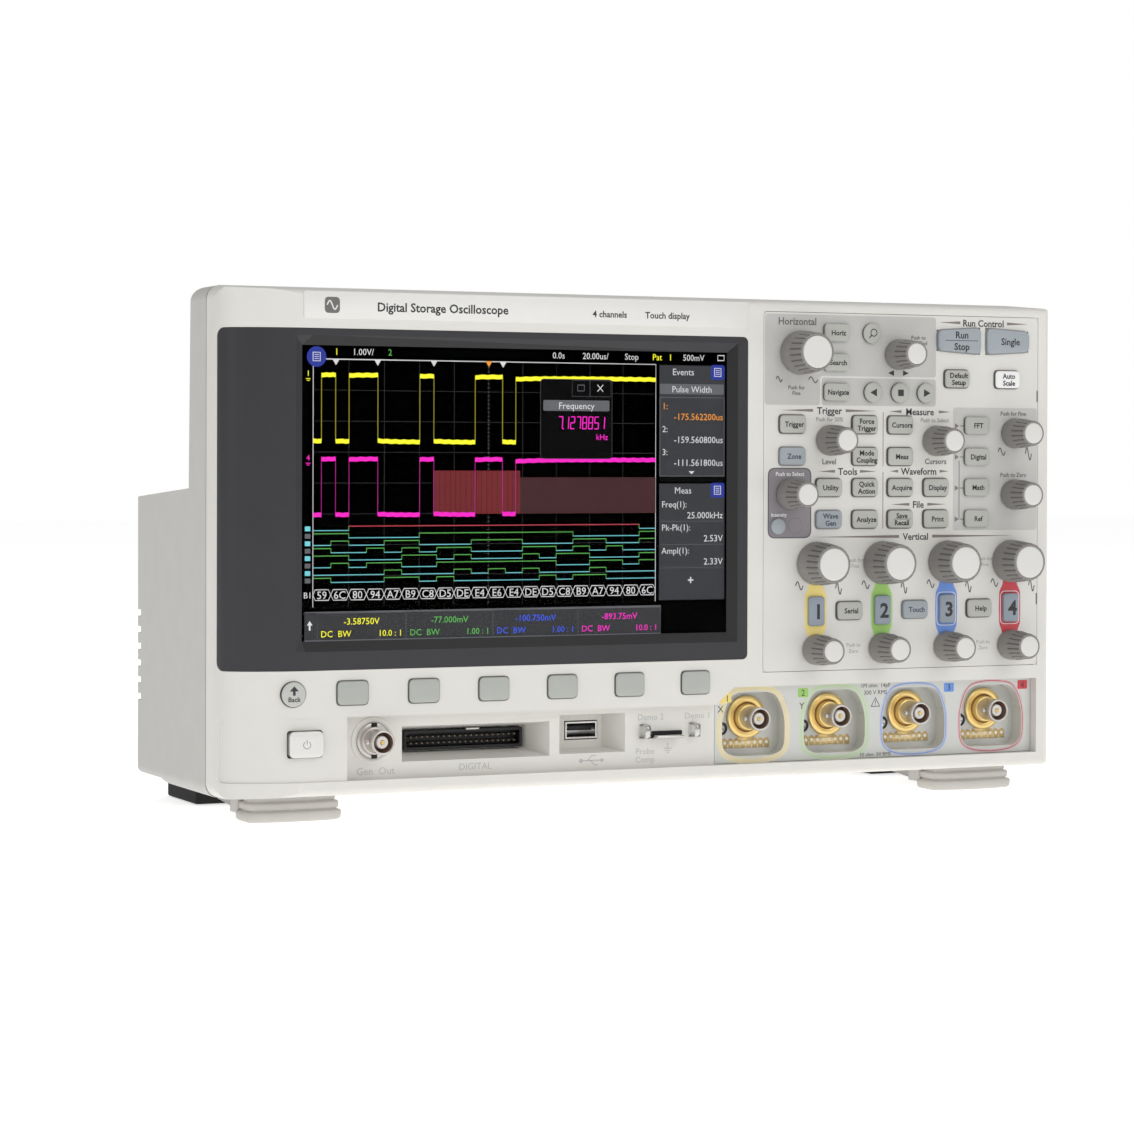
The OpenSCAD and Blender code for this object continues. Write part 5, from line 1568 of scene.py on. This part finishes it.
@dataclass
class CoaxialSocket:
    """A bayonet coaxial socket on a washer, turned piece by piece.

    Attributes:
        centre: x and z of its axis.
        seat: depth of the face it is bolted to.
        lip: depth of its open end.
        washer: outer radius of its washer.
        gilt: gold washer and sleeve, or nickel.
        name: name of its pieces.
    """

    plan: Plan
    centre: Pair
    seat: float
    lip: float
    washer: float
    gilt: bool
    name: str

    def build(self) -> None:
        """Turns the washer, sleeve, barrel, lugs and inner contact."""
        way = 1.0 if self.lip > self.seat else -1.0
        plate = GOLD if self.gilt else NICKEL
        shape = bmesh.new()
        s, lip, w = self.seat, self.lip, self.washer

        def at(steps: float) -> float:
            """A depth that many millimetres out from the seat."""
            return s + way * steps

        inner = w * 0.7
        lathe(shape, self.plan, self.centre, [
            (at(0), w), (at(0.7), w), (at(1.0), w - 0.3), (at(1.0), inner + 0.2), (at(0.8), inner),
            (at(0.25), inner), (at(0.25), 5.75),
        ], 56, [0, 0, 0, 0, 2, 2], end=False)
        neck = 0.26 if self.gilt else 0.2
        shoulder = s + (lip - s) * neck
        lathe(shape, self.plan, self.centre, [
            (at(0.25), 5.75), (at(0.5), 5.6), (shoulder - way * 0.4, 5.6), (shoulder, 5.3), (shoulder, 4.85),
        ], 56, [0, 0, 0, 0], end=False)
        rim = lip - way * 0.3
        lathe(shape, self.plan, self.centre, [
            (shoulder, 4.85), (lip - way * 2.2, 4.8), (lip - way * 2.0, 4.95), (rim, 4.95), (lip, 4.75),
            (lip, 4.2), (rim, 4.05), (lip - way * 5.0, 4.0), (lip - way * 5.0, 2.3),
        ], 56, [1, 1, 1, 1, 1, 1, 2, 2], end=False)
        for side in (-1, 1):
            lug_depth = lip - way * 4.2
            loops = []
            for reach, r in ((4.5, 1.0), (5.7, 1.0), (5.95, 0.8)):
                x = self.centre[0] + side * reach
                loops.append([self.plan.at(x, lug_depth + a, self.centre[1] + b) for a, b in circle(r, 16)])
            stack(shape, loops, [1, 1, 1])
        # The third finish paints shade on the inner walls of the washer and the bore.
        paints = [plate, NICKEL, BORE_SHADE]
        self.plan.finish_piece(shape, f"{self.name}_socket", paints, CABINET, ("bnc_connectors",))
        core = bmesh.new()
        lathe(core, self.plan, self.centre, [
            (lip - way * 5.0, 2.5), (lip - way * 1.6, 2.5), (lip - way * 1.4, 2.3), (lip - way * 1.4, 0.95),
            (lip - way * 2.4, 0.9),
        ], 32)
        self.plan.finish_piece(core, f"{self.name}_insulator", [DIELECTRIC], CABINET)
        pin = bmesh.new()
        lathe(pin, self.plan, self.centre, [
            (lip - way * 2.4, 0.75), (lip - way * 1.1, 0.75), (lip - way * 0.9, 0.6),
            (lip - way * 0.9, 0.32),
            (lip - way * 1.8, 0.3),
        ], 24)
        self.plan.finish_piece(pin, f"{self.name}_contact", [GOLD], CABINET)


@dataclass
class InputPanel:
    """The raised panel at the lower right with its four input pockets."""

    plan: Plan
    inputs: Sequence[Pair]
    face: float = 4.5
    floor: float = 12.5

    def build(self) -> None:
        """Makes the panel, its print, the sockets and the probe contacts."""
        self.plan.shell("input_panel", [POCKET], CABINET, 0.0)
        self.face = min(self.face, self.plan.depth(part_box("input_panel")[0].y))
        for index, centre in enumerate(self.inputs):
            CoaxialSocket(self.plan, centre, 11.9, -1.5, 9.1, True, f"input_{index + 1}").build()
            self._contacts(index, centre[0])
            self._shoulders(index, centre[0])
        self._print()

    def _shoulders(self, index: int, x: float) -> None:
        """Rounds the two upper corners of a pocket more than its lower ones.

        Args:
            index: which input it is, from 0.
            x: the middle of the pocket.
        """
        radius, half, top = 10.0, 15.8, 46.2
        shape = bmesh.new()
        for side in (-1, 1):
            arc = [(half - radius + radius * math.cos(a), top - radius + radius * math.sin(a))
                   for a in (math.pi / 2 * i / 14 for i in range(15))]
            edge = [(half + 0.4, top - radius)] + arc + [(half - radius, top + 0.4), (half + 0.4, top + 0.4)]
            points = [(x + side * a, b) for a, b in edge]
            if side < 0:
                points.reverse()
            depths = (self.floor + 0.1, self.face + PAINT_LIFT)
            loops = [[self.plan.at(a, d, b) for a, b in points] for d in depths]
            stack(shape, loops)
        self.plan.finish_piece(shape, f"pocket_shoulder_{index + 1}", [POCKET], CABINET)

    def _contacts(self, index: int, x: float) -> None:
        """The gold contact strip under a socket and the round jack beside it.

        Args:
            index: which input it is, from 0.
            x: the middle of the pocket.
        """
        shape = bmesh.new()
        outline: list[Pair] = [(x - 11.4, 22.1), (x + 11.4, 22.1), (x + 11.4, 25.2)]
        for i in range(8):
            middle = x + 10.0 - i * 2.86
            outline += [(middle + a, z) for a, z in ((1.1, 25.4), (0.5, 26.2), (-0.5, 26.2), (-1.1, 25.4))]
        outline.append((x - 11.4, 25.2))
        foot = [(x - 4.6, 25.0), (x + 4.6, 25.0), (x + 2.7, 28.4), (x - 2.7, 28.4)]
        for edge, rise in ((outline, 0.0), (foot, 0.05)):
            loops = [[self.plan.at(a, d, b) for a, b in edge] for d in (12.7, 12.1 - rise)]
            stack(shape, loops)
        self.plan.finish_piece(shape, f"contact_strip_{index + 1}", [GOLD_PALE], CABINET)
        holes = Ink(self.plan, 12.06)
        for i in range(8):
            cx = x + 10.0 - i * 2.86
            holes.area([(cx + a, 24.4 + b) for a, b in circle(0.72, 14)], GOLD_HOLE)
            holes.band([(cx - 1.43, 22.2), (cx - 1.43, 23.6)], 0.3, GOLD_HOLE)
        holes.lay(f"contact_strip_{index + 1}")
        jack = bmesh.new()
        lathe(jack, self.plan, (x - 11.6, 30.6), [
            (12.8, 2.8), (12.0, 2.8), (11.8, 2.6), (11.8, 1.9), (12.2, 1.75), (12.2, 0.7), (12.4, 0.6),
        ], 32, [0, 0, 0, 0, 1, 1, 0])
        self.plan.finish_piece(jack, f"probe_jack_{index + 1}", [BLACK, STEEL], CABINET)

    def _print(self) -> None:
        """Prints the coloured outlines, number tags and ratings."""
        art = Ink(self.plan, self.face - 0.02)
        for index, (x, _) in enumerate(self.inputs):
            cx = x - 0.3
            half = ((10.5, 18.1), (16.2, 21.5), (16.4, 36.0), (12.0, 46.6), (4.0, 48.1))
            right = [(cx + a, b) for a, b in half[1:]]
            left = [(cx - a, b) for a, b in reversed(half)]
            outline = fillet(right + left + [(cx, 17.0), (cx + half[0][0], half[0][1])], 5.0, 4)
            art.band(outline, 2.6 if index < 2 else 1.3, HALOS[index], closed=True)
            art.band(outline, 0.7 if index < 2 else 0.34, PALE_CHANNELS[index], closed=True, lift=0.02)
        for index, (x, z) in enumerate(((30.8, 45.3), (68.8, 45.4), (141.3, 45.7), (179.0, 45.9))):
            tag = [(x + a, z + b) for a, b in rectangle(5.0, 3.9, 0.5)]
            if index == 0:
                tag = [(x + 3.6, z - 3.0), (x + 3.4, z + 0.9), (x + 0.4, z + 0.9), (x - 2.4, z - 3.4)]
            art.area(tag, CHANNELS[index], 0.03)
            aside = 1.6 if index == 0 else 0.0
            art.word(str(index + 1), x + aside, z - aside * 0.8, 3.9, INK_DARK, lift=0.05)
        for text, x, z, size in (
            ("X", 29.2, 39.6, 4.0), ("Y", 68.2, 39.9, 4.0), ("1M ohm  14pF", 104.4, 47.6, 2.5),
            ("300 V RMS", 104.4, 44.6, 2.6), ("50 ohm  5V RMS", 104.4, 17.9, 2.3),
        ):
            art.word(text, x, z, size, INK_DARK, lift=0.02, fit=15.5)
        warn = [(104.4, 42.3), (106.5, 38.5), (102.3, 38.5)]
        art.band(warn, 0.28, INK_DARK, closed=True, lift=0.02)
        art.band([(104.4, 39.7), (104.4, 41.2)], 0.3, INK_DARK, lift=0.02)
        art.band([(104.4, 39.0), (104.4, 39.35)], 0.3, INK_DARK, lift=0.02)
        art.lay("input_print")


@dataclass
class PortBay:
    """The low bay under the menu keys: generator output, logic socket, bus port and probe loops."""

    plan: Plan
    floor: float = 4.5
    loops: tuple[float, float] = (-7.0, 16.1)

    def build(self) -> None:
        """Makes each port and the labels, whose raised letters are shown by a print of painted shade."""
        self._generator()
        self._logic_socket()
        self._bus_ports()
        self._probe_loops()
        self._labels()

    def _generator(self) -> None:
        """Turns the nickel generator socket with its thin ring."""
        centre = next(c for c in self.plan.centres("bnc_connectors") if c[0] < -100)
        CoaxialSocket(self.plan, centre, 4.5, -7.0, 7.2, False, "generator").build()
        ring = bmesh.new()
        edge = [(4.9, 9.6), (4.1, 9.5), (4.0, 9.3), (4.0, 7.4), (4.6, 7.3)]
        lathe(ring, self.plan, centre, edge, 48, end=False)
        self.plan.finish_piece(ring, "generator_ring", [BEZEL], CABINET)
        # The near-black blocks at the top and bottom of the ring are painted shade for its dark notches.
        for side in (-1, 1):
            notch = bmesh.new()
            z = centre[1] + side * 6.2
            block(notch, self.plan, (centre[0] - 1.2, 3.0, z - 0.9), (centre[0] + 1.2, 4.2, z + 0.9))
            where = "low" if side < 0 else "high"
            self.plan.finish_piece(notch, f"generator_notch_{where}", [OPENING_SHADE], CABINET)

    def _logic_socket(self) -> None:
        """Makes the black header with its rows of pins and its key."""
        self.plan.shell("digital_connector", [BLACK], CABINET, 0.3, 2)
        low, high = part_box("digital_connector")
        x0, x1 = low.x / MM, high.x / MM
        cz = (low.z + high.z) / 2 / MM
        front = self.plan.depth(low.y)
        # The pins take a darkened metal, painted shade for their place deep in the header.
        pins = bmesh.new()
        count = 20
        for i in range(count):
            x = (x0 + x1) / 2 + (i - (count - 1) / 2) * 2.42
            for dz in (-1.27, 1.27):
                block(pins, self.plan, (x - 0.36, front + 0.4, cz + dz - 0.36),
                      (x + 0.36, front + 5.9, cz + dz + 0.36), 0.12)
        self.plan.finish_piece(pins, "logic_pins", [PIN_SHADE], CABINET)
        key = bmesh.new()
        top = high.z / MM
        block(key, self.plan, (x0 + 27.0, front - 1.0, top - 0.4), (x0 + 33.0, front + 3.0, top + 0.5))
        self.plan.finish_piece(key, "logic_key", [STEEL], CABINET)

    def _bus_ports(self) -> None:
        """Makes the bus ports: steel shell, black tongue, and near-black sheets inside the opening that are
        painted shade.
        """
        self.plan.shell("usb_ports", [STEEL], CABINET, 0.2, 2)
        for index, (low, high) in enumerate(self.plan.solids("usb_ports")):
            cx, cz = (low.x + high.x) / 2 / MM, (low.z + high.z) / 2 / MM
            ahead = (low.y + high.y) / 2 < 0
            lip = self.plan.depth(low.y if ahead else high.y)
            way = 1.0 if ahead else -1.0
            depths = sorted((lip + way * 1.3, lip + way * 7.0))
            tongue = bmesh.new()
            block(tongue, self.plan, (cx - 5.4, depths[0], cz - 0.2), (cx + 5.4, depths[1], cz + 1.9))
            self.plan.finish_piece(tongue, f"bus_tongue_{index + 1}", [BLACK], CABINET)
            # Near-black sheets inside the top and bottom of the opening: painted shade.
            shade_sheet = bmesh.new()
            edges = sorted((lip + way * 0.4, lip + way * 7.4))
            for dz in (-2.62, 2.3):
                block(shade_sheet, self.plan, (cx - 5.9, edges[0], cz + dz), (cx + 5.9, edges[1], cz + dz + 0.3))
            self.plan.finish_piece(shade_sheet, f"bus_liner_{index + 1}", [OPENING_SHADE], CABINET)

    def _probe_loops(self) -> None:
        """Bends the two demo loops and the ground tab."""
        cz = 31.4
        for index, x in enumerate(self.loops):
            path = [(6.2, cz - 2.6), (1.0, cz - 2.6), (0.3, cz - 2.3), (0.0, cz - 1.6), (0.0, cz + 1.6),
                    (0.3, cz + 2.3), (1.0, cz + 2.6), (6.2, cz + 2.6)]
            self._strap(path, x - 1.25, x + 1.25, f"demo_loop_{index + 1}")
            back = bmesh.new()
            near, far = self.floor + 0.5, self.floor + 1.3
            block(back, self.plan, (x - 3.4, near, cz - 3.6), (x + 3.4, far, cz + 3.6))
            self.plan.finish_piece(back, f"demo_back_{index + 1}", [BEZEL], CABINET)
        tab = bmesh.new()
        block(tab, self.plan, (-3.2, -0.9, 28.7), (9.6, 7.0, 29.8), 0.3)
        # The wider near-black plate behind the tab is painted shade for the dark slot above it.
        block(tab, self.plan, (-5.0, 3.6, 28.4), (10.8, 5.0, 31.4), 0.3, 1)
        self.plan.finish_piece(tab, "ground_tab", [STEEL, OPENING_SHADE], CABINET, ("demo_terminals",))

    def _strap(self, path: Sequence[Pair], x0: float, x1: float, name: str) -> None:
        """A bent strap of sheet along a path of depth and z.

        Args:
            path: its points in depth and z.
            x0: its left edge.
            x1: its right edge.
            name: the piece's name.
        """
        shape = bmesh.new()
        loops: list[Loop] = []
        for i, (depth, z) in enumerate(path):
            before = Vector(path[max(i - 1, 0)])
            after = Vector(path[min(i + 1, len(path) - 1)])
            run = (after - before).normalized()
            side = Vector((-run.y, run.x)) * 0.28
            a = self.plan.at(x0, depth + side.x, z + side.y)
            b = self.plan.at(x1, depth + side.x, z + side.y)
            c = self.plan.at(x1, depth - side.x, z - side.y)
            d = self.plan.at(x0, depth - side.x, z - side.y)
            loops.append([a, b, c, d])
        stack(shape, loops, start=True)
        self.plan.finish_piece(shape, name, [STEEL], CABINET, ("demo_terminals",))

    def _labels(self) -> None:
        """Prints the labels flat on the bay floor, in a grey that is painted shade for their moulded relief.
        """
        art = Ink(self.plan, self.floor - 0.04)
        for text, x, z, size in (
            ("Gen  Out", -126.4, 19.6, 4.2), ("DIGITAL", -83.0, 19.9, 3.9), ("Demo 2", -3.6, 37.4, 3.7),
            ("Demo 1", 18.4, 37.4, 3.7), ("Probe", -6.2, 23.2, 3.6), ("Comp", -6.2, 19.8, 3.6),
        ):
            art.word(text, x, z, size, INK_BAY_SHADE)
        x, z = -30.2, 20.2
        art.band([(x - 5.0, z), (x + 4.0, z)], 0.4, INK_BAY_SHADE)
        art.area([(x + 3.6, z + 0.9), (x + 3.6, z - 0.9), (x + 5.4, z)], INK_BAY_SHADE)
        art.band([(x - 2.4, z), (x - 0.6, z + 2.0), (x + 1.6, z + 2.0)], 0.36, INK_BAY_SHADE)
        art.band([(x - 1.0, z), (x + 0.8, z - 1.9), (x + 2.4, z - 1.9)], 0.36, INK_BAY_SHADE)
        art.area([(x - 5.4 + a, z + b) for a, b in circle(0.9, 14)], INK_BAY_SHADE, 0.01)
        x, z = 4.4, 24.0
        art.band([(x, z + 2.3), (x, z)], 0.36, INK_BAY_SHADE)
        for row, half in enumerate((1.9, 1.2, 0.5)):
            art.band([(x - half, z - row * 0.9), (x + half, z - row * 0.9)], 0.36, INK_BAY_SHADE)
        art.lay("bay_label")


# ---------------------------------------------------------------- underside, rear and inside


@dataclass
class Underside:
    """Front feet, rear feet and the two folding legs."""

    plan: Plan

    def build(self) -> None:
        """Makes the feet and legs."""
        for index, (low, high) in enumerate(self.plan.solids("front_feet")):
            self._banded_foot(f"front_foot_{index + 1}", low, high)
        self.plan.shell("rear_feet", [RUBBER], CABINET, 0.8, 3)
        for side in ("left", "right"):
            node = f"tilt_leg_{side}"
            self.plan.shell(node, [LEG], node, 0.6, 2)

    def _banded_foot(self, name: str, low: Vector, high: Vector) -> None:
        """A moulded foot with a crowned front and two grooves.

        Args:
            name: the piece's name.
            low: the lowest corner of the foot's solid.
            high: the highest corner.
        """
        x0, x1 = low.x / MM, high.x / MM
        axle = self.plan.depth(high.y) - 3.0
        d0, d1 = self.plan.depth(low.y), axle - 3.8
        cx, cd = (x0 + x1) / 2, (d0 + d1) / 2
        w, d = (x1 - x0) / 2, (d1 - d0) / 2
        crown = [
            (-w, -d + 2.4), (-w * 0.55, -d + 0.5), (0, -d), (w * 0.55, -d + 0.5), (w, -d + 2.4),
            (w, d), (-w, d),
        ]
        outline = fillet(crown, 3.0, 4)
        top = high.z / MM
        rings = (
            (0.0, 1.3), (0.35, 0.5), (1.1, 0.0), (3.2, -0.2), (3.9, 0.2), (4.2, 1.5), (4.7, 1.5),
            (5.0, 0.9), (6.9, 0.8), (7.5, 1.1), (7.8, 2.3), (8.3, 2.3), (8.6, 1.9), (top, 2.6),
        )
        shape = bmesh.new()
        loops: list[Loop] = []
        for z, inset in rings:
            kx, kd = 1 - inset / w, 1 - inset / d
            loops.append([self.plan.at(cx + x * kx, cd + y * kd, z) for x, y in reversed(outline)])
        stack(shape, list(reversed(loops)))
        for side in (-1, 1):
            ear = cx + side * (w - 2.0)
            block(shape, self.plan, (ear - 1.6, d1 - 2.4, 2.8), (ear + 1.6, axle + 3.0, top - 0.2), 0.3)
        ends, ring = (3.0 - w, w - 3.0), circle(1.5, 20)
        pin = [[self.plan.at(cx + x, axle + a, 5.6 + b) for a, b in ring] for x in ends]
        stack(shape, pin)
        self.plan.finish_piece(shape, name, [FOOT], CABINET, ("front_feet",), 50.0)


@dataclass
class RearSide:
    """Fan, mains inlet, module cover, rear sockets, screws and the carry handle."""

    plan: Plan

    def build(self) -> None:
        """Dresses the rear."""
        self.plan.shell("fan_frame", [FAN], CABINET, 0.3, 1)
        self.plan.shell("fan_rotor", [FAN], "fan_rotor", 0.25, 2)
        self.plan.shell("mains_inlet", [BLACK], CABINET, 0.4, 2)
        self.plan.shell("module_cover", [CASE], CABINET, 0.5, 2)
        self.plan.shell("screws", [SCREW], CABINET, 0.2, 2)
        self.plan.shell("carry_handle", [HANDLE], "carry_handle", 1.6, 4)
        self._inlet_pins()
        for index, centre in enumerate(self._rear_sockets()):
            CoaxialSocket(self.plan, centre, 111.0, 121.5, 7.2, False, f"trigger_{index + 1}").build()
        self._rear_labels()

    def _rear_sockets(self) -> list[Pair]:
        """The axes of the sockets that face the rear."""
        boxes = self.plan.solids("bnc_connectors")
        return [((a.x + b.x) / 2 / MM, (a.z + b.z) / 2 / MM) for a, b in boxes if (a.y + b.y) / 2 > 0]

    def _inlet_pins(self) -> None:
        """The three blades of the mains inlet."""
        low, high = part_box("mains_inlet")
        cx, cz = (low.x + high.x) / 2 / MM, (low.z + high.z) / 2 / MM
        rear = self.plan.depth(high.y)
        pins = bmesh.new()
        for dx, dz in ((-7.0, -1.6), (7.0, -1.6), (0.0, 2.4)):
            x, z = cx + dx, cz + dz
            block(pins, self.plan, (x - 1.0, rear - 16.0, z - 2.0), (x + 1.0, rear - 3.0, z + 2.0), 0.3)
        self.plan.finish_piece(pins, "inlet_blades", [NICKEL], CABINET)

    def _rear_labels(self) -> None:
        """Prints plain words on the rear panel, read from behind."""
        words = Ink(self.plan, self.plan.depth(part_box("rear_cabinet")[1].y) + 0.03, -1.0)
        for text, x, z in (("TRIG OUT", 18.0, 125.5), ("EXT TRIG IN", 44.0, 125.5), ("DEVICE", 31.0, 94.5)):
            words.word(text, x, z, 3.0, INK_MID)
        words.lay("rear_label")


@dataclass
class Inside:
    """The parts behind the walls: deck, boards, encoders and supply."""

    plan: Plan

    def build(self) -> None:
        """Dresses the inner parts and stands components on the main board."""
        for node, finish in (("chassis_deck", ZINC), ("power_supply", ZINC), ("main_board", BOARD),
                             ("keyboard_board", BOARD), ("rotary_encoders", CAN)):
            self.plan.shell(node, [finish], CABINET, 0.0)
        self._components()

    def _components(self) -> None:
        """Stands packages and capacitors behind the input shield."""
        low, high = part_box("main_board")
        top = low.z / MM + 1.6
        left, rear = low.x / MM, self.plan.depth(high.y)
        chips = bmesh.new()
        for index, (width, deep) in enumerate(((22, 18), (12, 12), (12, 12), (16, 10), (10, 16), (8, 8))):
            x = left + 58 + 24 * index
            block(chips, self.plan, (x, rear - 5 - deep, top - 0.1), (x + width, rear - 5, top + 1.6), 0.2)
        self.plan.finish_piece(chips, "board_packages", [BLACK], CABINET)
        cans = bmesh.new()
        can = ((-0.1, 3.0), (0.8, 3.0), (1.1, 2.8), (8.6, 3.0), (9.0, 2.7))
        for index in range(5):
            x, depth = left + 8 + 8 * index, rear - 4.5
            rings = [(top + z, circle(r, 24)) for z, r in can]
            stack(cans, [[self.plan.at(x + a, depth + b, z) for a, b in ring] for z, ring in rings])
        self.plan.finish_piece(cans, "board_capacitors", [CAN], CABINET)


# ---------------------------------------------------------------- studio


@dataclass
class Studio:
    """Camera, lights and a white floor."""

    eye: Triple = (-0.58644, -1.23061, 0.14401)
    turn: float = math.radians(24.7414)
    dip: float = math.radians(0.459)
    roll: float = math.radians(0.14998)
    lens: float = 100.32
    shift: float = -0.07136
    ambient: float = 0.385

    def build(self) -> None:
        """Sets the stage."""
        self._camera()
        self._floor()
        self._lights()
        self._world()

    def _camera(self) -> None:
        """Aims the camera at the front from the left."""
        ahead = Vector((math.sin(self.turn) * math.cos(self.dip), math.cos(self.turn) * math.cos(self.dip),
                        -math.sin(self.dip)))
        right = Vector((math.cos(self.turn), -math.sin(self.turn), 0.0))
        up = right.cross(ahead)
        c, s = math.cos(self.roll), math.sin(self.roll)
        x_axis, y_axis = right * c + up * s, up * c - right * s
        data = bpy.data.cameras.new("view")
        data.lens = self.lens
        data.sensor_width = 36.0
        data.shift_y = self.shift
        data.clip_start = 0.05
        camera = bpy.data.objects.new("view", data)
        turn = Matrix((x_axis, y_axis, -ahead)).transposed().to_4x4()
        camera.matrix_world = Matrix.Translation(Vector(self.eye)) @ turn
        bpy.context.scene.collection.objects.link(camera)
        bpy.context.scene.camera = camera

    def _floor(self) -> None:
        """Lays a wide white floor just under the feet."""
        shape = bmesh.new()
        size = 6.0
        corners = [(-size, -size), (size, -size), (size, size), (-size, size)]
        shape.faces.new([shape.verts.new((x, y, -0.0003)) for x, y in corners])
        mesh = bpy.data.meshes.new("floor")
        shape.to_mesh(mesh)
        shape.free()
        white = Finish(
            "floor_white", "floor", (252, 252, 252), 0.8, mottle=0.002, grain=0.002, glow=0.62, body=True
        )
        mesh.materials.append(Paintbox().material(white))
        floor = bpy.data.objects.new("floor", mesh)
        bpy.context.scene.collection.objects.link(floor)

    def _light(self, name: str, place: Triple, aim: Triple, size: float, watts: float) -> None:
        """One square soft light.

        Args:
            name: the light's name.
            place: where it hangs.
            aim: what it faces.
            size: its edge in metres.
            watts: its power.
        """
        data = bpy.data.lights.new(name, "AREA")
        data.size = size
        data.energy = watts
        light = bpy.data.objects.new(name, data)
        light.location = place
        light.rotation_euler = (Vector(aim) - Vector(place)).to_track_quat("-Z", "Y").to_euler()
        bpy.context.scene.collection.objects.link(light)

    def _lights(self) -> None:
        """Hangs the key, fill and top lights."""
        self._light("key", (0.7, -2.0, 1.5), (0.0, 0.0, 0.1), 1.6, 14.7)
        self._light("fill", (-1.8, -0.9, 0.9), (0.0, 0.0, 0.1), 1.4, 3.3)
        self._light("top", (0.0, 0.4, 2.2), (0.0, 0.0, 0.1), 1.8, 7.7)

    def _world(self) -> None:
        """A white room all round."""
        world = bpy.data.worlds.new("white_room")
        world.use_nodes = True
        tree = world.node_tree
        tree.nodes["Background"].inputs["Color"].default_value = (1.0, 1.0, 1.0, 1.0)
        rays = tree.nodes.new("ShaderNodeLightPath")
        level = tree.nodes.new("ShaderNodeMapRange")
        level.inputs["To Min"].default_value = self.ambient
        level.inputs["To Max"].default_value = 1.0
        tree.links.new(rays.outputs["Is Camera Ray"], level.inputs["Value"])
        tree.links.new(level.outputs["Result"], tree.nodes["Background"].inputs["Strength"])
        bpy.context.scene.world = world
        bpy.context.scene.view_settings.view_transform = "Standard"


# ---------------------------------------------------------------- the whole instrument

LEGENDS = (
    Legend(("Horiz",), "horizontal_keys", 81.7, 198.9),
    Legend(("Search",), "horizontal_keys", 81.7, 186.2),
    Legend(("Navigate",), "horizontal_keys", 81.7, 173.6),
    Legend(("Default", "Setup"), "setup_keys", 141.6, 180.0),
    Legend(("Auto", "Scale"), "setup_keys", 167.2, 180.0, KeyStyle.WHITE),
    Legend(("Trigger",), "trigger_keys", 60.4, 159.8),
    Legend(("Force", "Trigger"), "trigger_keys", 95.7, 159.8),
    Legend(("Zone",), "trigger_keys", 60.4, 146.2, KeyStyle.BLUE),
    Legend(("Mode", "Coupling"), "trigger_keys", 95.7, 146.2),
    Legend(("Utility",), "trigger_keys", 78.1, 132.9),
    Legend(("Quick", "Action"), "trigger_keys", 95.7, 132.9),
    Legend(("Wave", "Gen"), "trigger_keys", 78.1, 119.3, KeyStyle.BLUE),
    Legend(("Analyze",), "trigger_keys", 95.7, 119.3),
    Legend(("Cursors",), "measure_keys", 113.2, 159.8),
    Legend(("Meas",), "measure_keys", 113.2, 146.2),
    Legend(("Acquire",), "measure_keys", 113.2, 132.9),
    Legend(("Display",), "measure_keys", 131.1, 132.9),
    Legend(("Save", "Recall"), "measure_keys", 113.2, 119.3),
    Legend(("Print",), "measure_keys", 131.1, 119.3),
    Legend(("FFT",), "function_keys", 151.7, 159.8),
    Legend(("Digital",), "function_keys", 151.7, 146.2),
    Legend(("Math",), "function_keys", 151.7, 132.9),
    Legend(("Ref",), "function_keys", 151.7, 119.3),
    Legend(("Serial",), "function_keys", 88.4, 80.3),
    Legend(("Touch",), "function_keys", 120.8, 80.3, KeyStyle.BLUE),
    Legend(("Help",), "function_keys", 153.2, 80.3),
)


@dataclass
class Oscilloscope:
    """The whole instrument, sub-assembly by sub-assembly."""

    plan: Plan

    def build(self) -> None:
        """Builds every sub-assembly."""
        channels = [self.plan.centres(f"channel_key_{i + 1}")[0] for i in range(4)]
        boxes = self.plan.solids("bnc_connectors")
        ahead = [(a, b) for a, b in boxes if a.x > 0 and (a.y + b.y) / 2 < 0]
        inputs = [((a.x + b.x) / 2 / MM, (a.z + b.z) / 2 / MM) for a, b in ahead]
        Housing(self.plan).build()
        DisplayUnit(self.plan).build()
        KeyField(self.plan, [c[0] for c in channels], channels[0][1]).build()
        KeySet(self.plan, LEGENDS).build()
        InputPanel(self.plan, inputs).build()
        PortBay(self.plan).build()
        for node in sorted(n for n in self.plan.nodes if n.endswith("_knob") or "_knob_" in n):
            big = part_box(node)[1].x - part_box(node)[0].x > BIG_KNOB
            Knob(self.plan, node, BIG_FLUTES if big else SMALL_FLUTES).build()
        Underside(self.plan).build()
        RearSide(self.plan).build()
        Inside(self.plan).build()


def main() -> None:
    """Loads the frame, builds the instrument on it and sets the stage."""
    logging.basicConfig(level=logging.INFO, format="%(message)s")
    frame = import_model()
    plan = Plan(frame["nodes"], Paintbox())
    Oscilloscope(plan).build()
    Studio().build()
    LOG.info("%d pieces", plan.count)


if __name__ == "__main__":
    main()
